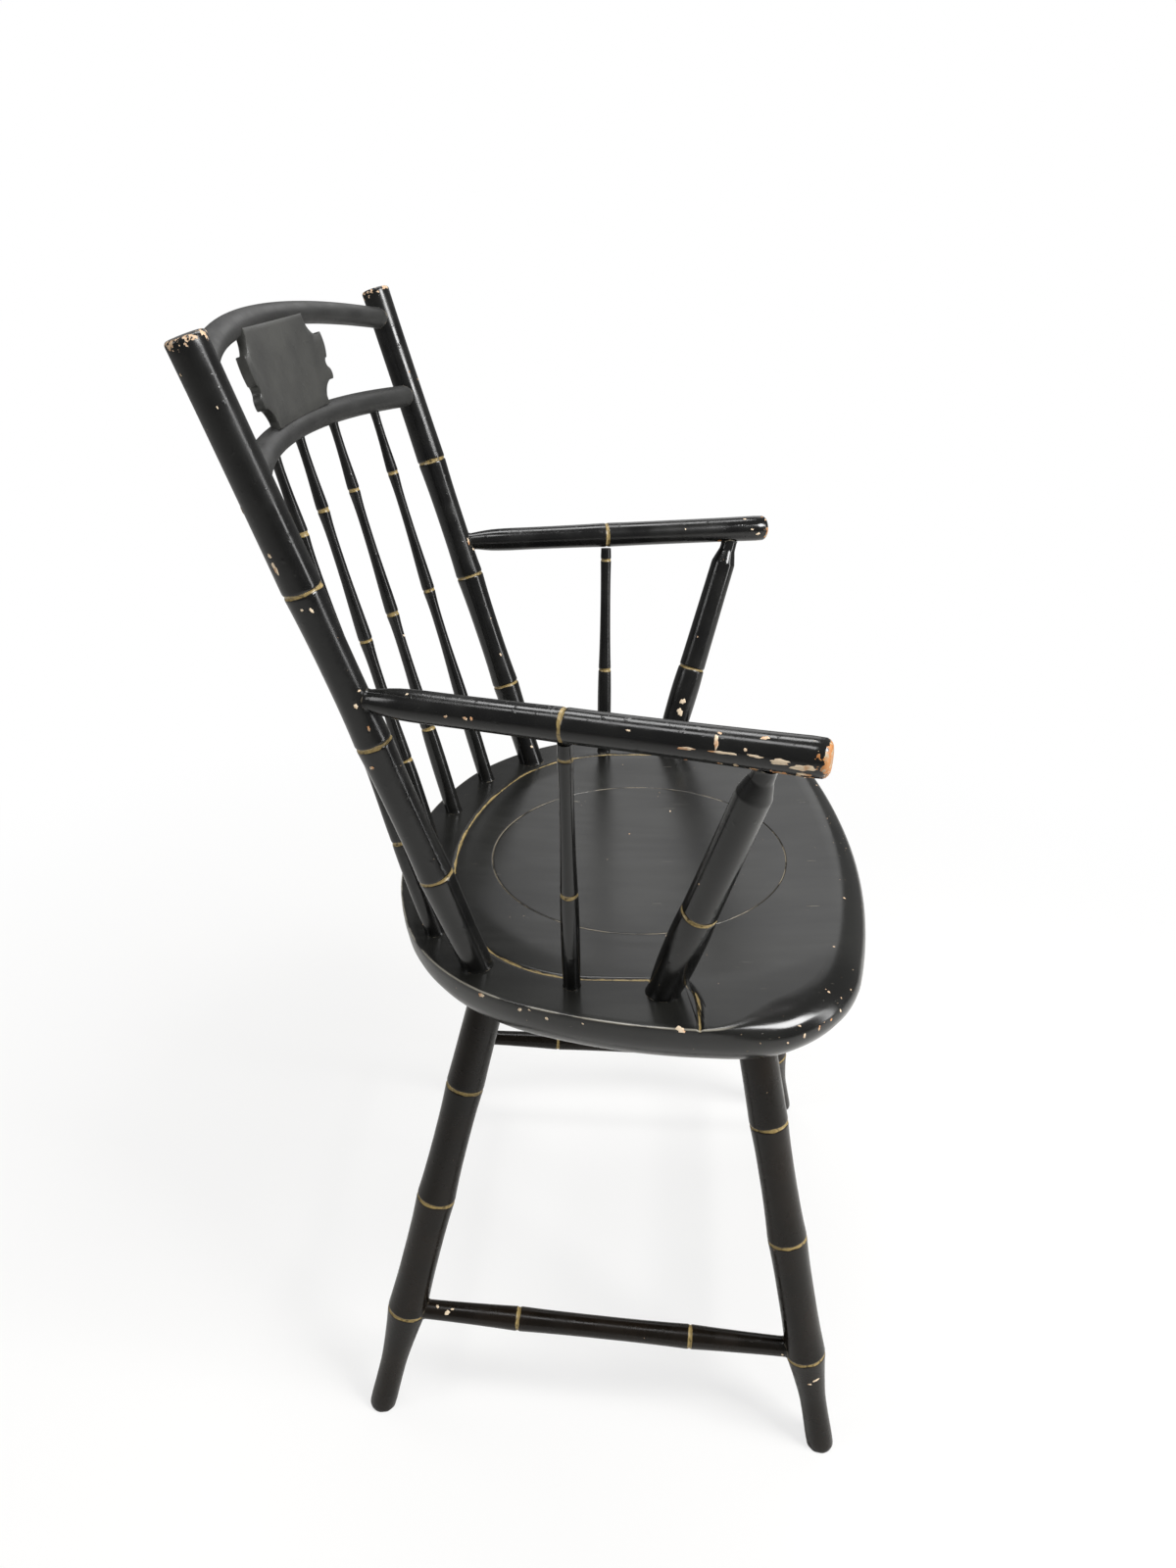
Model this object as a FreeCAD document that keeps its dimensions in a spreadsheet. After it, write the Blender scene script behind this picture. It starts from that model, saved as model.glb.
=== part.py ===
import FreeCAD, Part
import Sketcher
import math
import os
from FreeCAD import Placement, Rotation, Vector

# Rod-back Windsor armchair with bamboo-turned sticks, socketed into a saddled plank seat.
# Frame: millimetres, +Z up, floor at Z = 0, the sitter faces -Y, the sitter's right is -X.
# Every stick is turned about its own axis and stands in a round socket with a named clearance.

SIZES = {
    # seat plank, which falls by seat_fall for each millimetre towards its back
    "seat_height": 458.0,
    "seat_fall": 0.0489,
    "seat_thickness": 40.0,
    "seat_half_width": 246.0,
    "seat_back_depth": 262.0,
    "seat_front_depth": 123.0,
    "seat_widest_y": -114.0,
    "seat_side_radius": 400.0,
    "seat_corner_radius": 171.0,
    "seat_back_radius": 325.0,
    "seat_front_corner_radius": 106.5,
    "seat_edge_undercut": 22.0,
    "seat_front_roll": 20.0,
    "dish_depth": 10.0,
    "dish_half_width": 187.0,
    "dish_middle_y": -86.0,
    "gutter_half_width": 1.8,
    "gutter_depth": 1.4,
    "gutter_back_y": 104.0,
    "gutter_side_x": 190.0,
    "gutter_back_radius": 287.0,
    "gutter_corner_radius": 108.0,
    "gutter_front_y": -99.0,
    "gutter_turn_radius": 26.0,
    "plug_radius": 125.0,
    "plug_middle_y": -51.0,
    # fits
    "fit_gap": 0.12,
    "end_gap": 0.3,
    # scored rings of the turnings
    "score_width": 3.0,
    "score_depth": 1.1,
    # legs: where they stand on the floor and where their axes meet the seat's underside
    "front_foot_x": 210.0,
    "front_foot_y": -230.0,
    "back_foot_x": 203.0,
    "back_foot_y": 153.0,
    "front_leg_top_x": 127.0,
    "front_leg_top_y": -138.0,
    "back_leg_top_x": 116.0,
    "back_leg_top_y": 56.0,
    "leg_foot_radius": 11.8,
    "leg_foot_chamfer": 5.0,
    "leg_ankle_radius": 11.3,
    "leg_low_ring_radius": 17.0,
    "leg_mid_ring_radius": 16.4,
    "leg_high_ring_radius": 15.7,
    "leg_waist": 1.3,
    "leg_slight_waist": 0.4,
    "leg_tenon_radius": 15.0,
    "leg_tenon_depth": 24.0,
    "leg_socket_run": 7.0,
    "front_low_ring_height": 90.0,
    "back_low_ring_height": 98.0,
    "leg_mid_ring_rise": 109.0,
    "leg_high_ring_rise": 103.0,
    "leg_ankle_height": 48.0,
    # stretchers
    "side_stretcher_back_height": 98.0,
    "side_stretcher_front_height": 93.0,
    "cross_stretcher_height": 123.0,
    "stretcher_end_radius": 8.0,
    "stretcher_ring_radius": 10.0,
    "stretcher_ring_share": 0.285,
    "stretcher_stop": 5.0,
    "stretcher_shoulder": 20.0,
    "stretcher_waist": 0.6,
    "stretcher_end_waist": 0.3,
    # back posts
    "post_foot_x": 174.0,
    "post_foot_y": 61.0,
    "post_top_x": 217.0,
    "post_top_y": 201.0,
    "post_top_height": 884.0,
    "post_foot_radius": 11.6,
    "post_ring_radius": 12.7,
    "post_top_radius": 12.2,
    "post_waist": 1.2,
    "post_slight_waist": 0.4,
    "post_head_round": 2.5,
    "post_tenon_depth": 27.0,
    "stick_socket_run": 6.0,
    "low_ring_height": 534.0,
    "mid_ring_height": 638.0,
    "high_ring_height": 741.0,
    # bent rods between the posts
    "crest_height": 860.0,
    "crest_bow": 42.0,
    "crest_rise": 16.0,
    "crest_radius": 8.6,
    "lower_rod_height": 797.0,
    "lower_rod_bow": 41.0,
    "lower_rod_rise": 5.0,
    "lower_rod_radius": 9.2,
    "rod_tenon_radius": 5.5,
    "rod_tenon_depth": 9.0,
    # tablet between the rods
    "tablet_thickness": 7.0,
    "tablet_top_half_width": 66.0,
    "tablet_lobe_half_width": 87.0,
    "tablet_bottom_half_width": 62.0,
    "tablet_side_notch": 6.0,
    "tablet_low_cusp_step": 4.0,
    "tablet_low_lobe_step": 5.0,
    "tablet_high_cusp_step": 3.0,
    "tablet_foot_share": 0.14,
    "tablet_low_cusp_share": 0.27,
    "tablet_low_lobe_share": 0.39,
    "tablet_high_cusp_share": 0.48,
    "tablet_high_lobe_share": 0.73,
    "tablet_shoulder_share": 0.87,
    "tablet_forward": 4.5,
    "tablet_tongue": 4.0,
    # back spindles
    "spindle_spread_top": 74.0,
    "spindle_spread_foot": 66.5,
    "spindle_foot_back_y": 127.0,
    "spindle_foot_arc": 340.0,
    "spindle_foot_radius": 6.9,
    "spindle_swell": 0.6,
    "spindle_low_ring_radius": 6.3,
    "spindle_mid_ring_radius": 5.7,
    "spindle_high_ring_radius": 4.9,
    "spindle_top_radius": 4.4,
    "spindle_waist": 0.3,
    "spindle_top_waist": 0.2,
    "spindle_tenon_depth": 22.0,
    "spindle_top_tenon_depth": 5.0,
    # arms, their posts and spindles
    "arm_back_height": 669.0,
    "arm_front_height": 674.0,
    "arm_front_x": 267.0,
    "arm_front_y": -160.0,
    "arm_back_radius": 9.8,
    "arm_back_neck": 26.0,
    "arm_ring_radius": 11.3,
    "arm_front_radius": 12.4,
    "arm_tenon_radius": 6.5,
    "arm_tenon_depth": 9.0,
    "arm_front_round": 6.0,
    "arm_ring_share": 0.47,
    "arm_waist": 0.6,
    "arm_back_waist": 0.2,
    "arm_post_foot_x": 204.0,
    "arm_post_foot_y": -74.0,
    "arm_post_reach": 33.0,
    "arm_post_foot_radius": 11.6,
    "arm_post_ring_radius": 12.8,
    "arm_post_ring_height": 542.0,
    "arm_post_swell": 1.8,
    "arm_post_waist": 0.4,
    "arm_post_socket_run": 8.4,
    "arm_post_shoulder_radius": 10.2,
    "arm_post_neck_radius": 7.4,
    "arm_post_neck_length": 14.0,
    "arm_spindle_foot_x": 198.0,
    "arm_spindle_foot_y": -10.0,
    "arm_spindle_foot_radius": 6.3,
    "arm_spindle_ring_radius": 6.2,
    "arm_spindle_top_radius": 4.6,
    "arm_spindle_ring_drop": 12.0,
    "arm_spindle_neck_radius": 5.2,
    "arm_spindle_waist": 0.3,
    "tenon_into_arm": 9.0,
}

doc = FreeCAD.newDocument("WindsorArmchair")
sheet = doc.addObject("Spreadsheet::Sheet", "Sizes")


class Size:
    """A number together with the sheet expression that gives it."""

    def __init__(self, number, text):
        self.number = float(number)
        self.text = text

    def __add__(self, other):
        other = as_size(other)
        return Size(self.number + other.number, "(" + self.text + " + " + other.text + ")")

    def __radd__(self, other):
        return as_size(other) + self

    def __sub__(self, other):
        other = as_size(other)
        return Size(self.number - other.number, "(" + self.text + " - " + other.text + ")")

    def __rsub__(self, other):
        return as_size(other) - self

    def __mul__(self, other):
        other = as_size(other)
        return Size(self.number * other.number, "(" + self.text + " * " + other.text + ")")

    def __rmul__(self, other):
        return self * other

    def __truediv__(self, other):
        other = as_size(other)
        return Size(self.number / other.number, "(" + self.text + " / " + other.text + ")")

    def __neg__(self):
        return Size(-self.number, "(0 - " + self.text + ")")


def as_size(value):
    if isinstance(value, Size):
        return value
    return Size(value, "(" + repr(float(value)) + ")")


def root(value):
    return Size(math.sqrt(value.number), "sqrt(" + value.text + ")")


def fill_sheet():
    for row, (alias, value) in enumerate(SIZES.items(), start=1):
        sheet.set("A" + str(row), alias)
        sheet.set("B" + str(row), str(value))
        sheet.setAlias("B" + str(row), alias)
    doc.recompute()


def size(alias):
    return Size(getattr(sheet, alias), "Sizes." + alias)


def bind(thing, prop, value):
    thing.setExpression(prop, as_size(value).text)


def hold(sketch, value, kind, *where):
    """Adds a dimension to a sketch and ties it to the sheet."""
    index = sketch.addConstraint(Sketcher.Constraint(kind, *where, value.number))
    bind(sketch, "Constraints[" + str(index) + "]", value)


class Spot:
    """A point of the chair whose three coordinates are sizes."""

    def __init__(self, x, y, z):
        self.x = as_size(x)
        self.y = as_size(y)
        self.z = as_size(z)

    def vector(self):
        return Vector(self.x.number, self.y.number, self.z.number)

    def towards(self, other, share):
        share = as_size(share)
        return Spot(
            self.x + (other.x - self.x) * share,
            self.y + (other.y - self.y) * share,
            self.z + (other.z - self.z) * share,
        )

    def distance(self, other):
        dx = other.x - self.x
        dy = other.y - self.y
        dz = other.z - self.z
        text = "hypot(" + dx.text + "; " + dy.text + "; " + dz.text + ")"
        return Size(math.sqrt(dx.number ** 2 + dy.number ** 2 + dz.number ** 2), text)


class Axis:
    """The centre line of a stick, from its foot to its head."""

    def __init__(self, foot, head):
        self.foot = foot
        self.head = head
        self.length = foot.distance(head)
        self.direction = (head.vector() - foot.vector()).normalize()

    def station_at_height(self, height):
        return (height - self.foot.z) * self.length / (self.head.z - self.foot.z)

    def at_height(self, height):
        return self.foot.towards(self.head, (height - self.foot.z) / (self.head.z - self.foot.z))

    def at_station(self, station):
        return self.foot.towards(self.head, station / self.length)

    def placement(self):
        return Placement(self.foot.vector(), Rotation(Vector(0, 0, 1), self.direction))


class Outline:
    """Closed loops of lines and arcs in a sketch, every corner bound to the sheet."""

    def __init__(self, sketch):
        self.sketch = sketch
        self.corners = []
        self.bulges = []

    def begin(self, x, y):
        self.corners = [(as_size(x), as_size(y))]
        self.bulges = []

    def to(self, x, y, bulge=None):
        self.corners.append((as_size(x), as_size(y)))
        self.bulges.append(bulge)

    def close(self):
        self.bulges.append(None)
        count = len(self.corners)
        edges = []
        for index in range(count):
            start = self.corners[index]
            end = self.corners[(index + 1) % count]
            edges.append(self.add_edge(start, end, self.bulges[index]))
        for index in range(count):
            self.join(edges[index], edges[(index + 1) % count])
            self.pin(edges[index], self.corners[index])

    def add_edge(self, start, end, bulge):
        first = Vector(start[0].number, start[1].number, 0)
        last = Vector(end[0].number, end[1].number, 0)
        if bulge is None:
            edge = self.sketch.addGeometry(Part.LineSegment(first, last), False)
            return (edge, 1, 2)
        bulge = as_size(bulge)
        chord = last - first
        side = Vector(chord.y, -chord.x, 0).normalize()
        middle = (first + last) * 0.5 + side * bulge.number
        edge = self.sketch.addGeometry(Part.Arc(first, middle, last), False)
        run = end[0] - start[0]
        rise = end[1] - start[1]
        radius = (run * run + rise * rise + bulge * bulge * 4) / (bulge * 8)
        if bulge.number < 0:
            radius = -radius
        hold(self.sketch, radius, "Radius", edge)
        if (self.sketch.getPoint(edge, 1) - first).Length < 1e-4:
            return (edge, 1, 2)
        return (edge, 2, 1)

    def join(self, edge, following):
        link = Sketcher.Constraint("Coincident", edge[0], edge[2], following[0], following[1])
        self.sketch.addConstraint(link)

    def pin(self, edge, corner):
        for kind, own_axis, value in (("DistanceX", -2, corner[0]), ("DistanceY", -1, corner[1])):
            if abs(value.number) < 1e-9:
                self.sketch.addConstraint(
                    Sketcher.Constraint("PointOnObject", edge[0], edge[1], own_axis)
                )
                continue
            hold(self.sketch, value, kind, -1, 1, edge[0], edge[1])


def plane_sketch(body, name, role):
    sketch = body.newObject("Sketcher::SketchObject", name)
    planes = [item for item in body.Origin.OriginFeatures if item.Role == role]
    sketch.AttachmentSupport = [(planes[0], "")]
    sketch.MapMode = "FlatFace"
    return sketch


def new_body(label):
    body = doc.addObject("PartDesign::Body", label)
    body.Label = label
    return body


def turn(label, axis, steps):
    """Turns a stick; a step is (kind, station, radius, bulge of the stretch before it)."""
    body = new_body(label)
    sketch = plane_sketch(body, label + "_profile", "XZ_Plane")
    outline = Outline(sketch)
    outline.begin(0, steps[0][1])
    half_width = size("score_width") / 2
    for kind, station, radius, bulge in steps:
        if kind == "ring":
            outline.to(radius, station - half_width, bulge)
            outline.to(radius - size("score_depth"), station)
            outline.to(radius, station + half_width)
        else:
            outline.to(radius, station, bulge)
    outline.to(0, steps[-1][1])
    outline.close()
    turning = body.newObject("PartDesign::Revolution", label + "_turning")
    turning.Profile = sketch
    turning.ReferenceAxis = (sketch, ["V_Axis"])
    turning.Angle = 360
    sketch.Visibility = False
    body.Placement = axis.placement()
    return body


def rod(name, start, direction, radius, length):
    """A plain round rod, used as a tenon or as the tool that bores a socket."""
    cylinder = doc.addObject("Part::Cylinder", name)
    bind(cylinder, "Radius", radius)
    bind(cylinder, "Height", length)
    cylinder.Placement = Placement(start, Rotation(Vector(0, 0, 1), direction))
    return cylinder


def fuse(name, pieces):
    if len(pieces) == 1:
        return pieces[0]
    joined = doc.addObject("Part::MultiFuse", name)
    joined.Shapes = pieces
    return joined


def cut(label, base, tools):
    result = doc.addObject("Part::Cut", label)
    result.Base = base
    result.Tool = fuse(label + "_tools", tools)
    result.Label = label
    return result


fill_sheet()
parts = []
seat_tools = []


def keep(piece):
    parts.append(piece)


def deck_spot(x, y):
    return Spot(x, y, size("seat_height") - size("seat_fall") * y)


def underside_spot(x, y):
    return Spot(x, y, size("seat_height") - size("seat_fall") * y - size("seat_thickness"))


SIDES = (("right", -1), ("left", 1))

# Height of a quarter circle's arc over its chord, for a radius of 1
QUARTER_RISE = 1 - 1 / math.sqrt(2)


def on_side(value, side):
    return value if side > 0 else -value


def socket(name, axis, from_station, to_station, radius):
    """A boring tool about a stick's axis, wider than the stick by the named gap."""
    start = axis.at_station(from_station).vector()
    length = to_station - from_station
    return rod(name, start, axis.direction, radius + size("fit_gap"), length)


def leg_axis(which, side):
    foot = Spot(on_side(size(which + "_foot_x"), side), size(which + "_foot_y"), 0)
    top_x = on_side(size(which + "_leg_top_x"), side)
    return Axis(foot, underside_spot(top_x, size(which + "_leg_top_y")))


def side_stretcher_axis(side):
    back = leg_axis("back", side).at_height(size("side_stretcher_back_height"))
    front = leg_axis("front", side).at_height(size("side_stretcher_front_height"))
    return Axis(back, front)


def cross_stretcher_axis(which):
    height = size("cross_stretcher_height")
    return Axis(leg_axis(which, -1).at_height(height), leg_axis(which, 1).at_height(height))


def stretcher_socket(name, axis, at_foot):
    stop = size("stretcher_stop") - size("end_gap")
    reach = size("stretcher_shoulder") + size("stretcher_end_radius")
    if at_foot:
        return socket(name, axis, stop, reach, size("stretcher_end_radius"))
    return socket(name, axis, axis.length - reach, axis.length - stop, size("stretcher_end_radius"))


def make_leg(which, side_name, side):
    label = "leg_" + which + "_" + side_name
    axis = leg_axis(which, side)
    low_height = size(which + "_low_ring_height")
    mid_height = low_height + size("leg_mid_ring_rise")
    low = axis.station_at_height(low_height)
    middle = axis.station_at_height(mid_height)
    high = axis.station_at_height(mid_height + size("leg_high_ring_rise"))
    ankle = axis.station_at_height(size("leg_ankle_height"))
    foot = size("leg_foot_radius")
    chamfer = size("leg_foot_chamfer")
    waist = size("leg_waist")
    slight = size("leg_slight_waist")
    tenon = size("leg_tenon_radius")
    steps = [
        ("point", -chamfer, foot - chamfer, None),
        ("point", chamfer / 2, foot, None),
        ("point", ankle, size("leg_ankle_radius"), -slight),
        ("ring", low, size("leg_low_ring_radius"), -slight),
        ("ring", middle, size("leg_mid_ring_radius"), -waist),
        ("ring", high, size("leg_high_ring_radius"), -waist),
        ("point", axis.length - size("leg_socket_run"), tenon, -slight),
        ("point", axis.length + size("leg_tenon_depth"), tenon, None),
    ]
    blank = turn(label + "_blank", axis, steps)
    floor = doc.addObject("Part::Box", label + "_floor")
    span = foot * 6
    for side_length in ("Length", "Width", "Height"):
        bind(floor, side_length, span)
    half = span.number / 2
    floor.Placement.Base = axis.foot.vector() - Vector(half, half, span.number)
    side_tool = stretcher_socket(label + "_side_socket", side_stretcher_axis(side), which == "back")
    cross_tool = stretcher_socket(label + "_cross_socket", cross_stretcher_axis(which), side < 0)
    keep(cut(label, blank, [floor, side_tool, cross_tool]))
    run = size("leg_socket_run")
    end = axis.length + size("leg_tenon_depth") + size("end_gap")
    seat_tools.append(socket(label + "_seat_socket", axis, axis.length - run, end, tenon))


def make_stretcher(label, axis):
    end = size("stretcher_end_radius")
    ring = size("stretcher_ring_radius")
    stop = size("stretcher_stop")
    shoulder = size("stretcher_shoulder")
    share = size("stretcher_ring_share")
    end_waist = size("stretcher_end_waist")
    steps = [
        ("point", stop, end, None),
        ("point", shoulder, end, None),
        ("ring", axis.length * share, ring, -end_waist),
        ("ring", axis.length - axis.length * share, ring, -size("stretcher_waist")),
        ("point", axis.length - shoulder, end, -end_waist),
        ("point", axis.length - stop, end, None),
    ]
    keep(turn(label, axis, steps))


def post_axis(side):
    foot_x = on_side(size("post_foot_x"), side)
    top_x = on_side(size("post_top_x"), side)
    top = Spot(top_x, size("post_top_y"), size("post_top_height"))
    return Axis(deck_spot(foot_x, size("post_foot_y")), top)


def post_radius_at(height):
    """Radius of a back post at a height above its middle ring, along the arc of the stretch's waist."""
    ring = size("post_ring_radius")
    low = size("mid_ring_height")
    high = size("high_ring_height")
    end = ring
    waist = size("post_waist")
    if height.number > high.number:
        low = high
        high = size("post_top_height")
        end = size("post_top_radius")
        waist = size("post_slight_waist")
    share = (height - low) / (high - low)
    return ring + (end - ring) * share - waist * 4 * share * (1 - share)


def arm_axis(side):
    back = post_axis(side).at_height(size("arm_back_height"))
    front_x = on_side(size("arm_front_x"), side)
    return Axis(back, Spot(front_x, size("arm_front_y"), size("arm_front_height")))


class Bow:
    """A bent rod: a circular arc between the two back posts, tipped back and up."""

    def __init__(self, label, height, bow, rise, radius):
        self.label = label
        self.height = height
        self.bow = bow
        self.rise = rise
        self.radius = radius
        self.end = post_axis(1).at_height(height)
        self.lift = root(bow * bow + rise * rise)
        half = self.end.x
        self.arc_radius = (half * half + self.lift * self.lift) / (self.lift * 2)
        share = half / self.arc_radius
        self.half_angle = Size(
            math.degrees(math.asin(share.number)), "asin(" + share.text + ")"
        )
        self.out = Vector(0, bow.number, rise.number).normalize()

    def spot(self, x):
        """The point of the rod's centre line at a distance x from the middle plane."""
        drop = self.arc_radius - root(self.arc_radius * self.arc_radius - x * x)
        share = (self.lift - drop) / self.lift
        return Spot(x, self.end.y + self.bow * share, self.end.z + self.rise * share)

    def blank(self):
        ring = doc.addObject("Part::Torus", self.label + "_blank")
        bind(ring, "Radius1", self.arc_radius)
        bind(ring, "Radius2", self.radius)
        bind(ring, "Angle3", self.half_angle * 2)
        half = math.radians(self.half_angle.number)
        normal = Vector(1, 0, 0).cross(self.out)
        start = Vector(math.sin(half), 0, 0) + self.out * math.cos(half)
        frame = Rotation(start, normal.cross(start), normal, "ZXY")
        middle = Vector(0, self.end.y.number, self.end.z.number)
        centre = middle - self.out * (self.arc_radius.number - self.lift.number)
        ring.Placement = Placement(centre, frame)
        return ring

    def end_direction(self, side):
        half = math.radians(self.half_angle.number)
        return Vector(side * math.cos(half), 0, 0) - self.out * math.sin(half)


def cope(name, axis, radius):
    """The cylinder of a back post, used to fit a stick's end round it."""
    return socket(name, axis, as_size(0), axis.length, radius)


def tenon_and_socket(label, at_post, outwards, post_radius, radius, depth):
    """A round tenon that reaches into a post, with the tool that bores its socket."""
    inside = post_radius + depth
    tenon = rod(label + "_tenon", at_post - outwards * inside.number, outwards, radius, depth * 2)
    gap = size("end_gap")
    bore = rod(
        label + "_post_socket",
        at_post - outwards * inside.number,
        outwards,
        radius + size("fit_gap"),
        depth * 2 + gap,
    )
    return tenon, bore


def make_bow(bow, post_bores, slot, heads):
    copes = []
    tenons = []
    radius_at_post = post_radius_at(bow.height)
    for side_name, side in SIDES:
        axis = post_axis(side)
        name = bow.label + "_" + side_name
        copes.append(cope(name + "_cope", axis, radius_at_post))
        at_post = axis.at_height(bow.height).vector()
        tenon, bore = tenon_and_socket(
            name,
            at_post,
            bow.end_direction(side),
            radius_at_post,
            size("rod_tenon_radius"),
            size("rod_tenon_depth"),
        )
        tenons.append(tenon)
        post_bores[side].append(bore)
    coped = cut(bow.label + "_coped", bow.blank(), copes)
    whole = fuse(bow.label + "_whole", [coped] + tenons)
    keep(cut(bow.label, whole, [slot] + heads))


def make_post(side_name, side, bores):
    label = "back_post_" + side_name
    axis = post_axis(side)
    foot = size("post_foot_radius")
    ring = size("post_ring_radius")
    top = size("post_top_radius")
    run = size("stick_socket_run")
    waist = size("post_waist")
    rounding = size("post_head_round")
    depth = size("post_tenon_depth")
    steps = [
        ("point", -depth, foot, None),
        ("point", run, foot, None),
        ("ring", axis.station_at_height(size("low_ring_height")), ring, -waist / 3),
        ("ring", axis.station_at_height(size("mid_ring_height")), ring, -waist),
        ("ring", axis.station_at_height(size("high_ring_height")), ring, -waist),
        ("point", axis.length - rounding, top, -size("post_slight_waist")),
        ("point", axis.length, top - rounding, rounding * QUARTER_RISE),
    ]
    keep(cut(label, turn(label + "_blank", axis, steps), bores))
    seat_tools.append(socket(label + "_seat_socket", axis, -depth - size("end_gap"), run, foot))


def board_frame(lower, crest):
    """Lean and height of the tablet between the middles of the two rods."""
    foot = lower.spot(as_size(0))
    head = crest.spot(as_size(0))
    return Axis(foot, head)


def tablet_placement(axis):
    forward = Vector(1, 0, 0).cross(axis.direction)
    return Placement(
        axis.foot.vector(), Rotation(Vector(1, 0, 0), -forward, axis.direction, "ZXY")
    )


def board_strip(label, lower, axis, half_width, thickness, from_height, to_height):
    """A curved strip of board: two arcs about one centre, drawn up along the lean."""
    body = new_body(label)
    sketch = plane_sketch(body, label + "_plan", "XY_Plane")
    outline = Outline(sketch)
    ahead = thickness / 2
    reach = lower.arc_radius
    middle_y = -size("tablet_forward")
    front = middle_y - ahead
    back = middle_y + ahead
    sagitta = reach - root(reach * reach - half_width * half_width)
    outline.begin(-half_width, front - sagitta)
    outline.to(half_width, front - sagitta, -sagitta)
    outline.to(half_width, back - sagitta)
    outline.to(-half_width, back - sagitta, sagitta)
    outline.close()
    bind(sketch, "AttachmentOffset.Base.z", from_height)
    pad = body.newObject("PartDesign::Pad", label + "_pad")
    pad.Profile = sketch
    bind(pad, "Length", to_height - from_height)
    sketch.Visibility = False
    body.Placement = tablet_placement(axis)
    return body


def make_tablet(lower, crest):
    axis = board_frame(lower, crest)
    thickness = size("tablet_thickness")
    tongue = size("tablet_tongue")
    lobe = size("tablet_lobe_half_width") + 2
    foot = lower.radius - tongue
    head = axis.length - crest.radius + tongue
    body = board_strip("tablet", lower, axis, lobe, thickness, foot, head)
    sketch = plane_sketch(body, "tablet_edges", "XZ_Plane")
    top = size("tablet_top_half_width")
    bottom = size("tablet_bottom_half_width")
    widest = size("tablet_lobe_half_width")
    notch = size("tablet_side_notch")
    clear = widest + thickness
    scoop = notch * -0.6
    swell = notch * 0.4
    cusps = (
        ("low_cusp", widest - size("tablet_low_cusp_step"), scoop),
        ("low_lobe", widest - size("tablet_low_lobe_step"), swell),
        ("high_cusp", widest - size("tablet_high_cusp_step"), scoop),
        ("high_lobe", widest, swell),
        ("shoulder", top, notch * -0.9),
    )
    outline = Outline(sketch)
    for side in (1, -1):
        outline.begin(bottom * side, foot - thickness)
        outline.to(bottom * side, axis.length * size("tablet_foot_share"))
        for point, reach, bulge in cusps:
            height = axis.length * size("tablet_" + point + "_share")
            outline.to(reach * side, height, bulge * side)
        outline.to(top * side, head + thickness)
        outline.to(clear * side, head + thickness)
        outline.to(clear * side, foot - thickness)
        outline.close()
    edges = body.newObject("PartDesign::Pocket", "tablet_shaping")
    edges.Profile = sketch
    edges.Type = "ThroughAll"
    edges.Midplane = True
    sketch.Visibility = False
    keep(body)
    gap = size("fit_gap")
    wide = thickness + gap * 2
    reach = size("tablet_tongue") * 4
    top_slot = board_strip(
        "crest_slot", lower, axis, top + gap, wide, head - reach, head + size("end_gap")
    )
    low_slot = board_strip(
        "lower_slot", lower, axis, bottom + gap, wide, foot - size("end_gap"), foot + reach
    )
    return top_slot, low_slot


def spindle_axis(lower, place):
    foot_x = size("spindle_spread_foot") * place
    arc = size("spindle_foot_arc")
    foot_y = size("spindle_foot_back_y") - arc + root(arc * arc - foot_x * foot_x)
    return Axis(deck_spot(foot_x, foot_y), lower.spot(size("spindle_spread_top") * place))


def make_spindle(label, axis, rod_radius):
    foot = size("spindle_foot_radius")
    run = size("stick_socket_run")
    depth = size("spindle_tenon_depth")
    top = size("spindle_top_radius")
    head = axis.length - rod_radius + size("spindle_top_tenon_depth")
    steps = [
        ("point", -depth, foot, None),
        ("point", run, foot, None),
    ]
    swell = size("spindle_swell")
    for level in ("low", "mid", "high"):
        station = axis.station_at_height(size(level + "_ring_height"))
        steps.append(("ring", station, size("spindle_" + level + "_ring_radius"), swell))
        swell = -size("spindle_waist")
    steps.append(("point", axis.length - rod_radius * 2, top, -size("spindle_top_waist")))
    steps.append(("point", head, top, None))
    keep(turn(label, axis, steps))
    seat_tools.append(socket(label + "_seat_socket", axis, -depth - size("end_gap"), run, foot))
    return socket(
        label + "_head_socket", axis, head - rod_radius * 2, head + size("end_gap"), top
    )


def arm_post_axis(side):
    foot = deck_spot(on_side(size("arm_post_foot_x"), side), size("arm_post_foot_y"))
    arm = arm_axis(side)
    return Axis(foot, arm.at_station(arm.length - size("arm_post_reach")))


def arm_spindle_axis(side):
    foot = deck_spot(on_side(size("arm_spindle_foot_x"), side), size("arm_spindle_foot_y"))
    arm = arm_axis(side)
    return Axis(foot, arm.at_station(arm.length * size("arm_ring_share")))


def make_arm_post(side_name, side):
    label = "arm_post_" + side_name
    axis = arm_post_axis(side)
    foot = size("arm_post_foot_radius")
    run = size("arm_post_socket_run")
    depth = size("post_tenon_depth")
    neck = size("arm_post_neck_radius")
    under_arm = axis.length - size("arm_front_radius")
    shoulder = under_arm - size("arm_post_neck_length")
    head = under_arm + size("tenon_into_arm")
    ring = axis.station_at_height(size("arm_post_ring_height"))
    steps = [
        ("point", -depth, foot, None),
        ("point", run, foot, None),
        ("ring", ring, size("arm_post_ring_radius"), size("arm_post_swell")),
        ("point", shoulder, size("arm_post_shoulder_radius"), -size("arm_post_waist")),
        ("point", shoulder + size("arm_post_shoulder_radius") - neck, neck, None),
        ("point", head, neck, None),
    ]
    keep(turn(label, axis, steps))
    seat_tools.append(socket(label + "_seat_socket", axis, -depth - size("end_gap"), run, foot))
    reach = size("arm_front_radius") * 2
    return socket(label + "_head_socket", axis, head - reach, head + size("end_gap"), neck)


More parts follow.
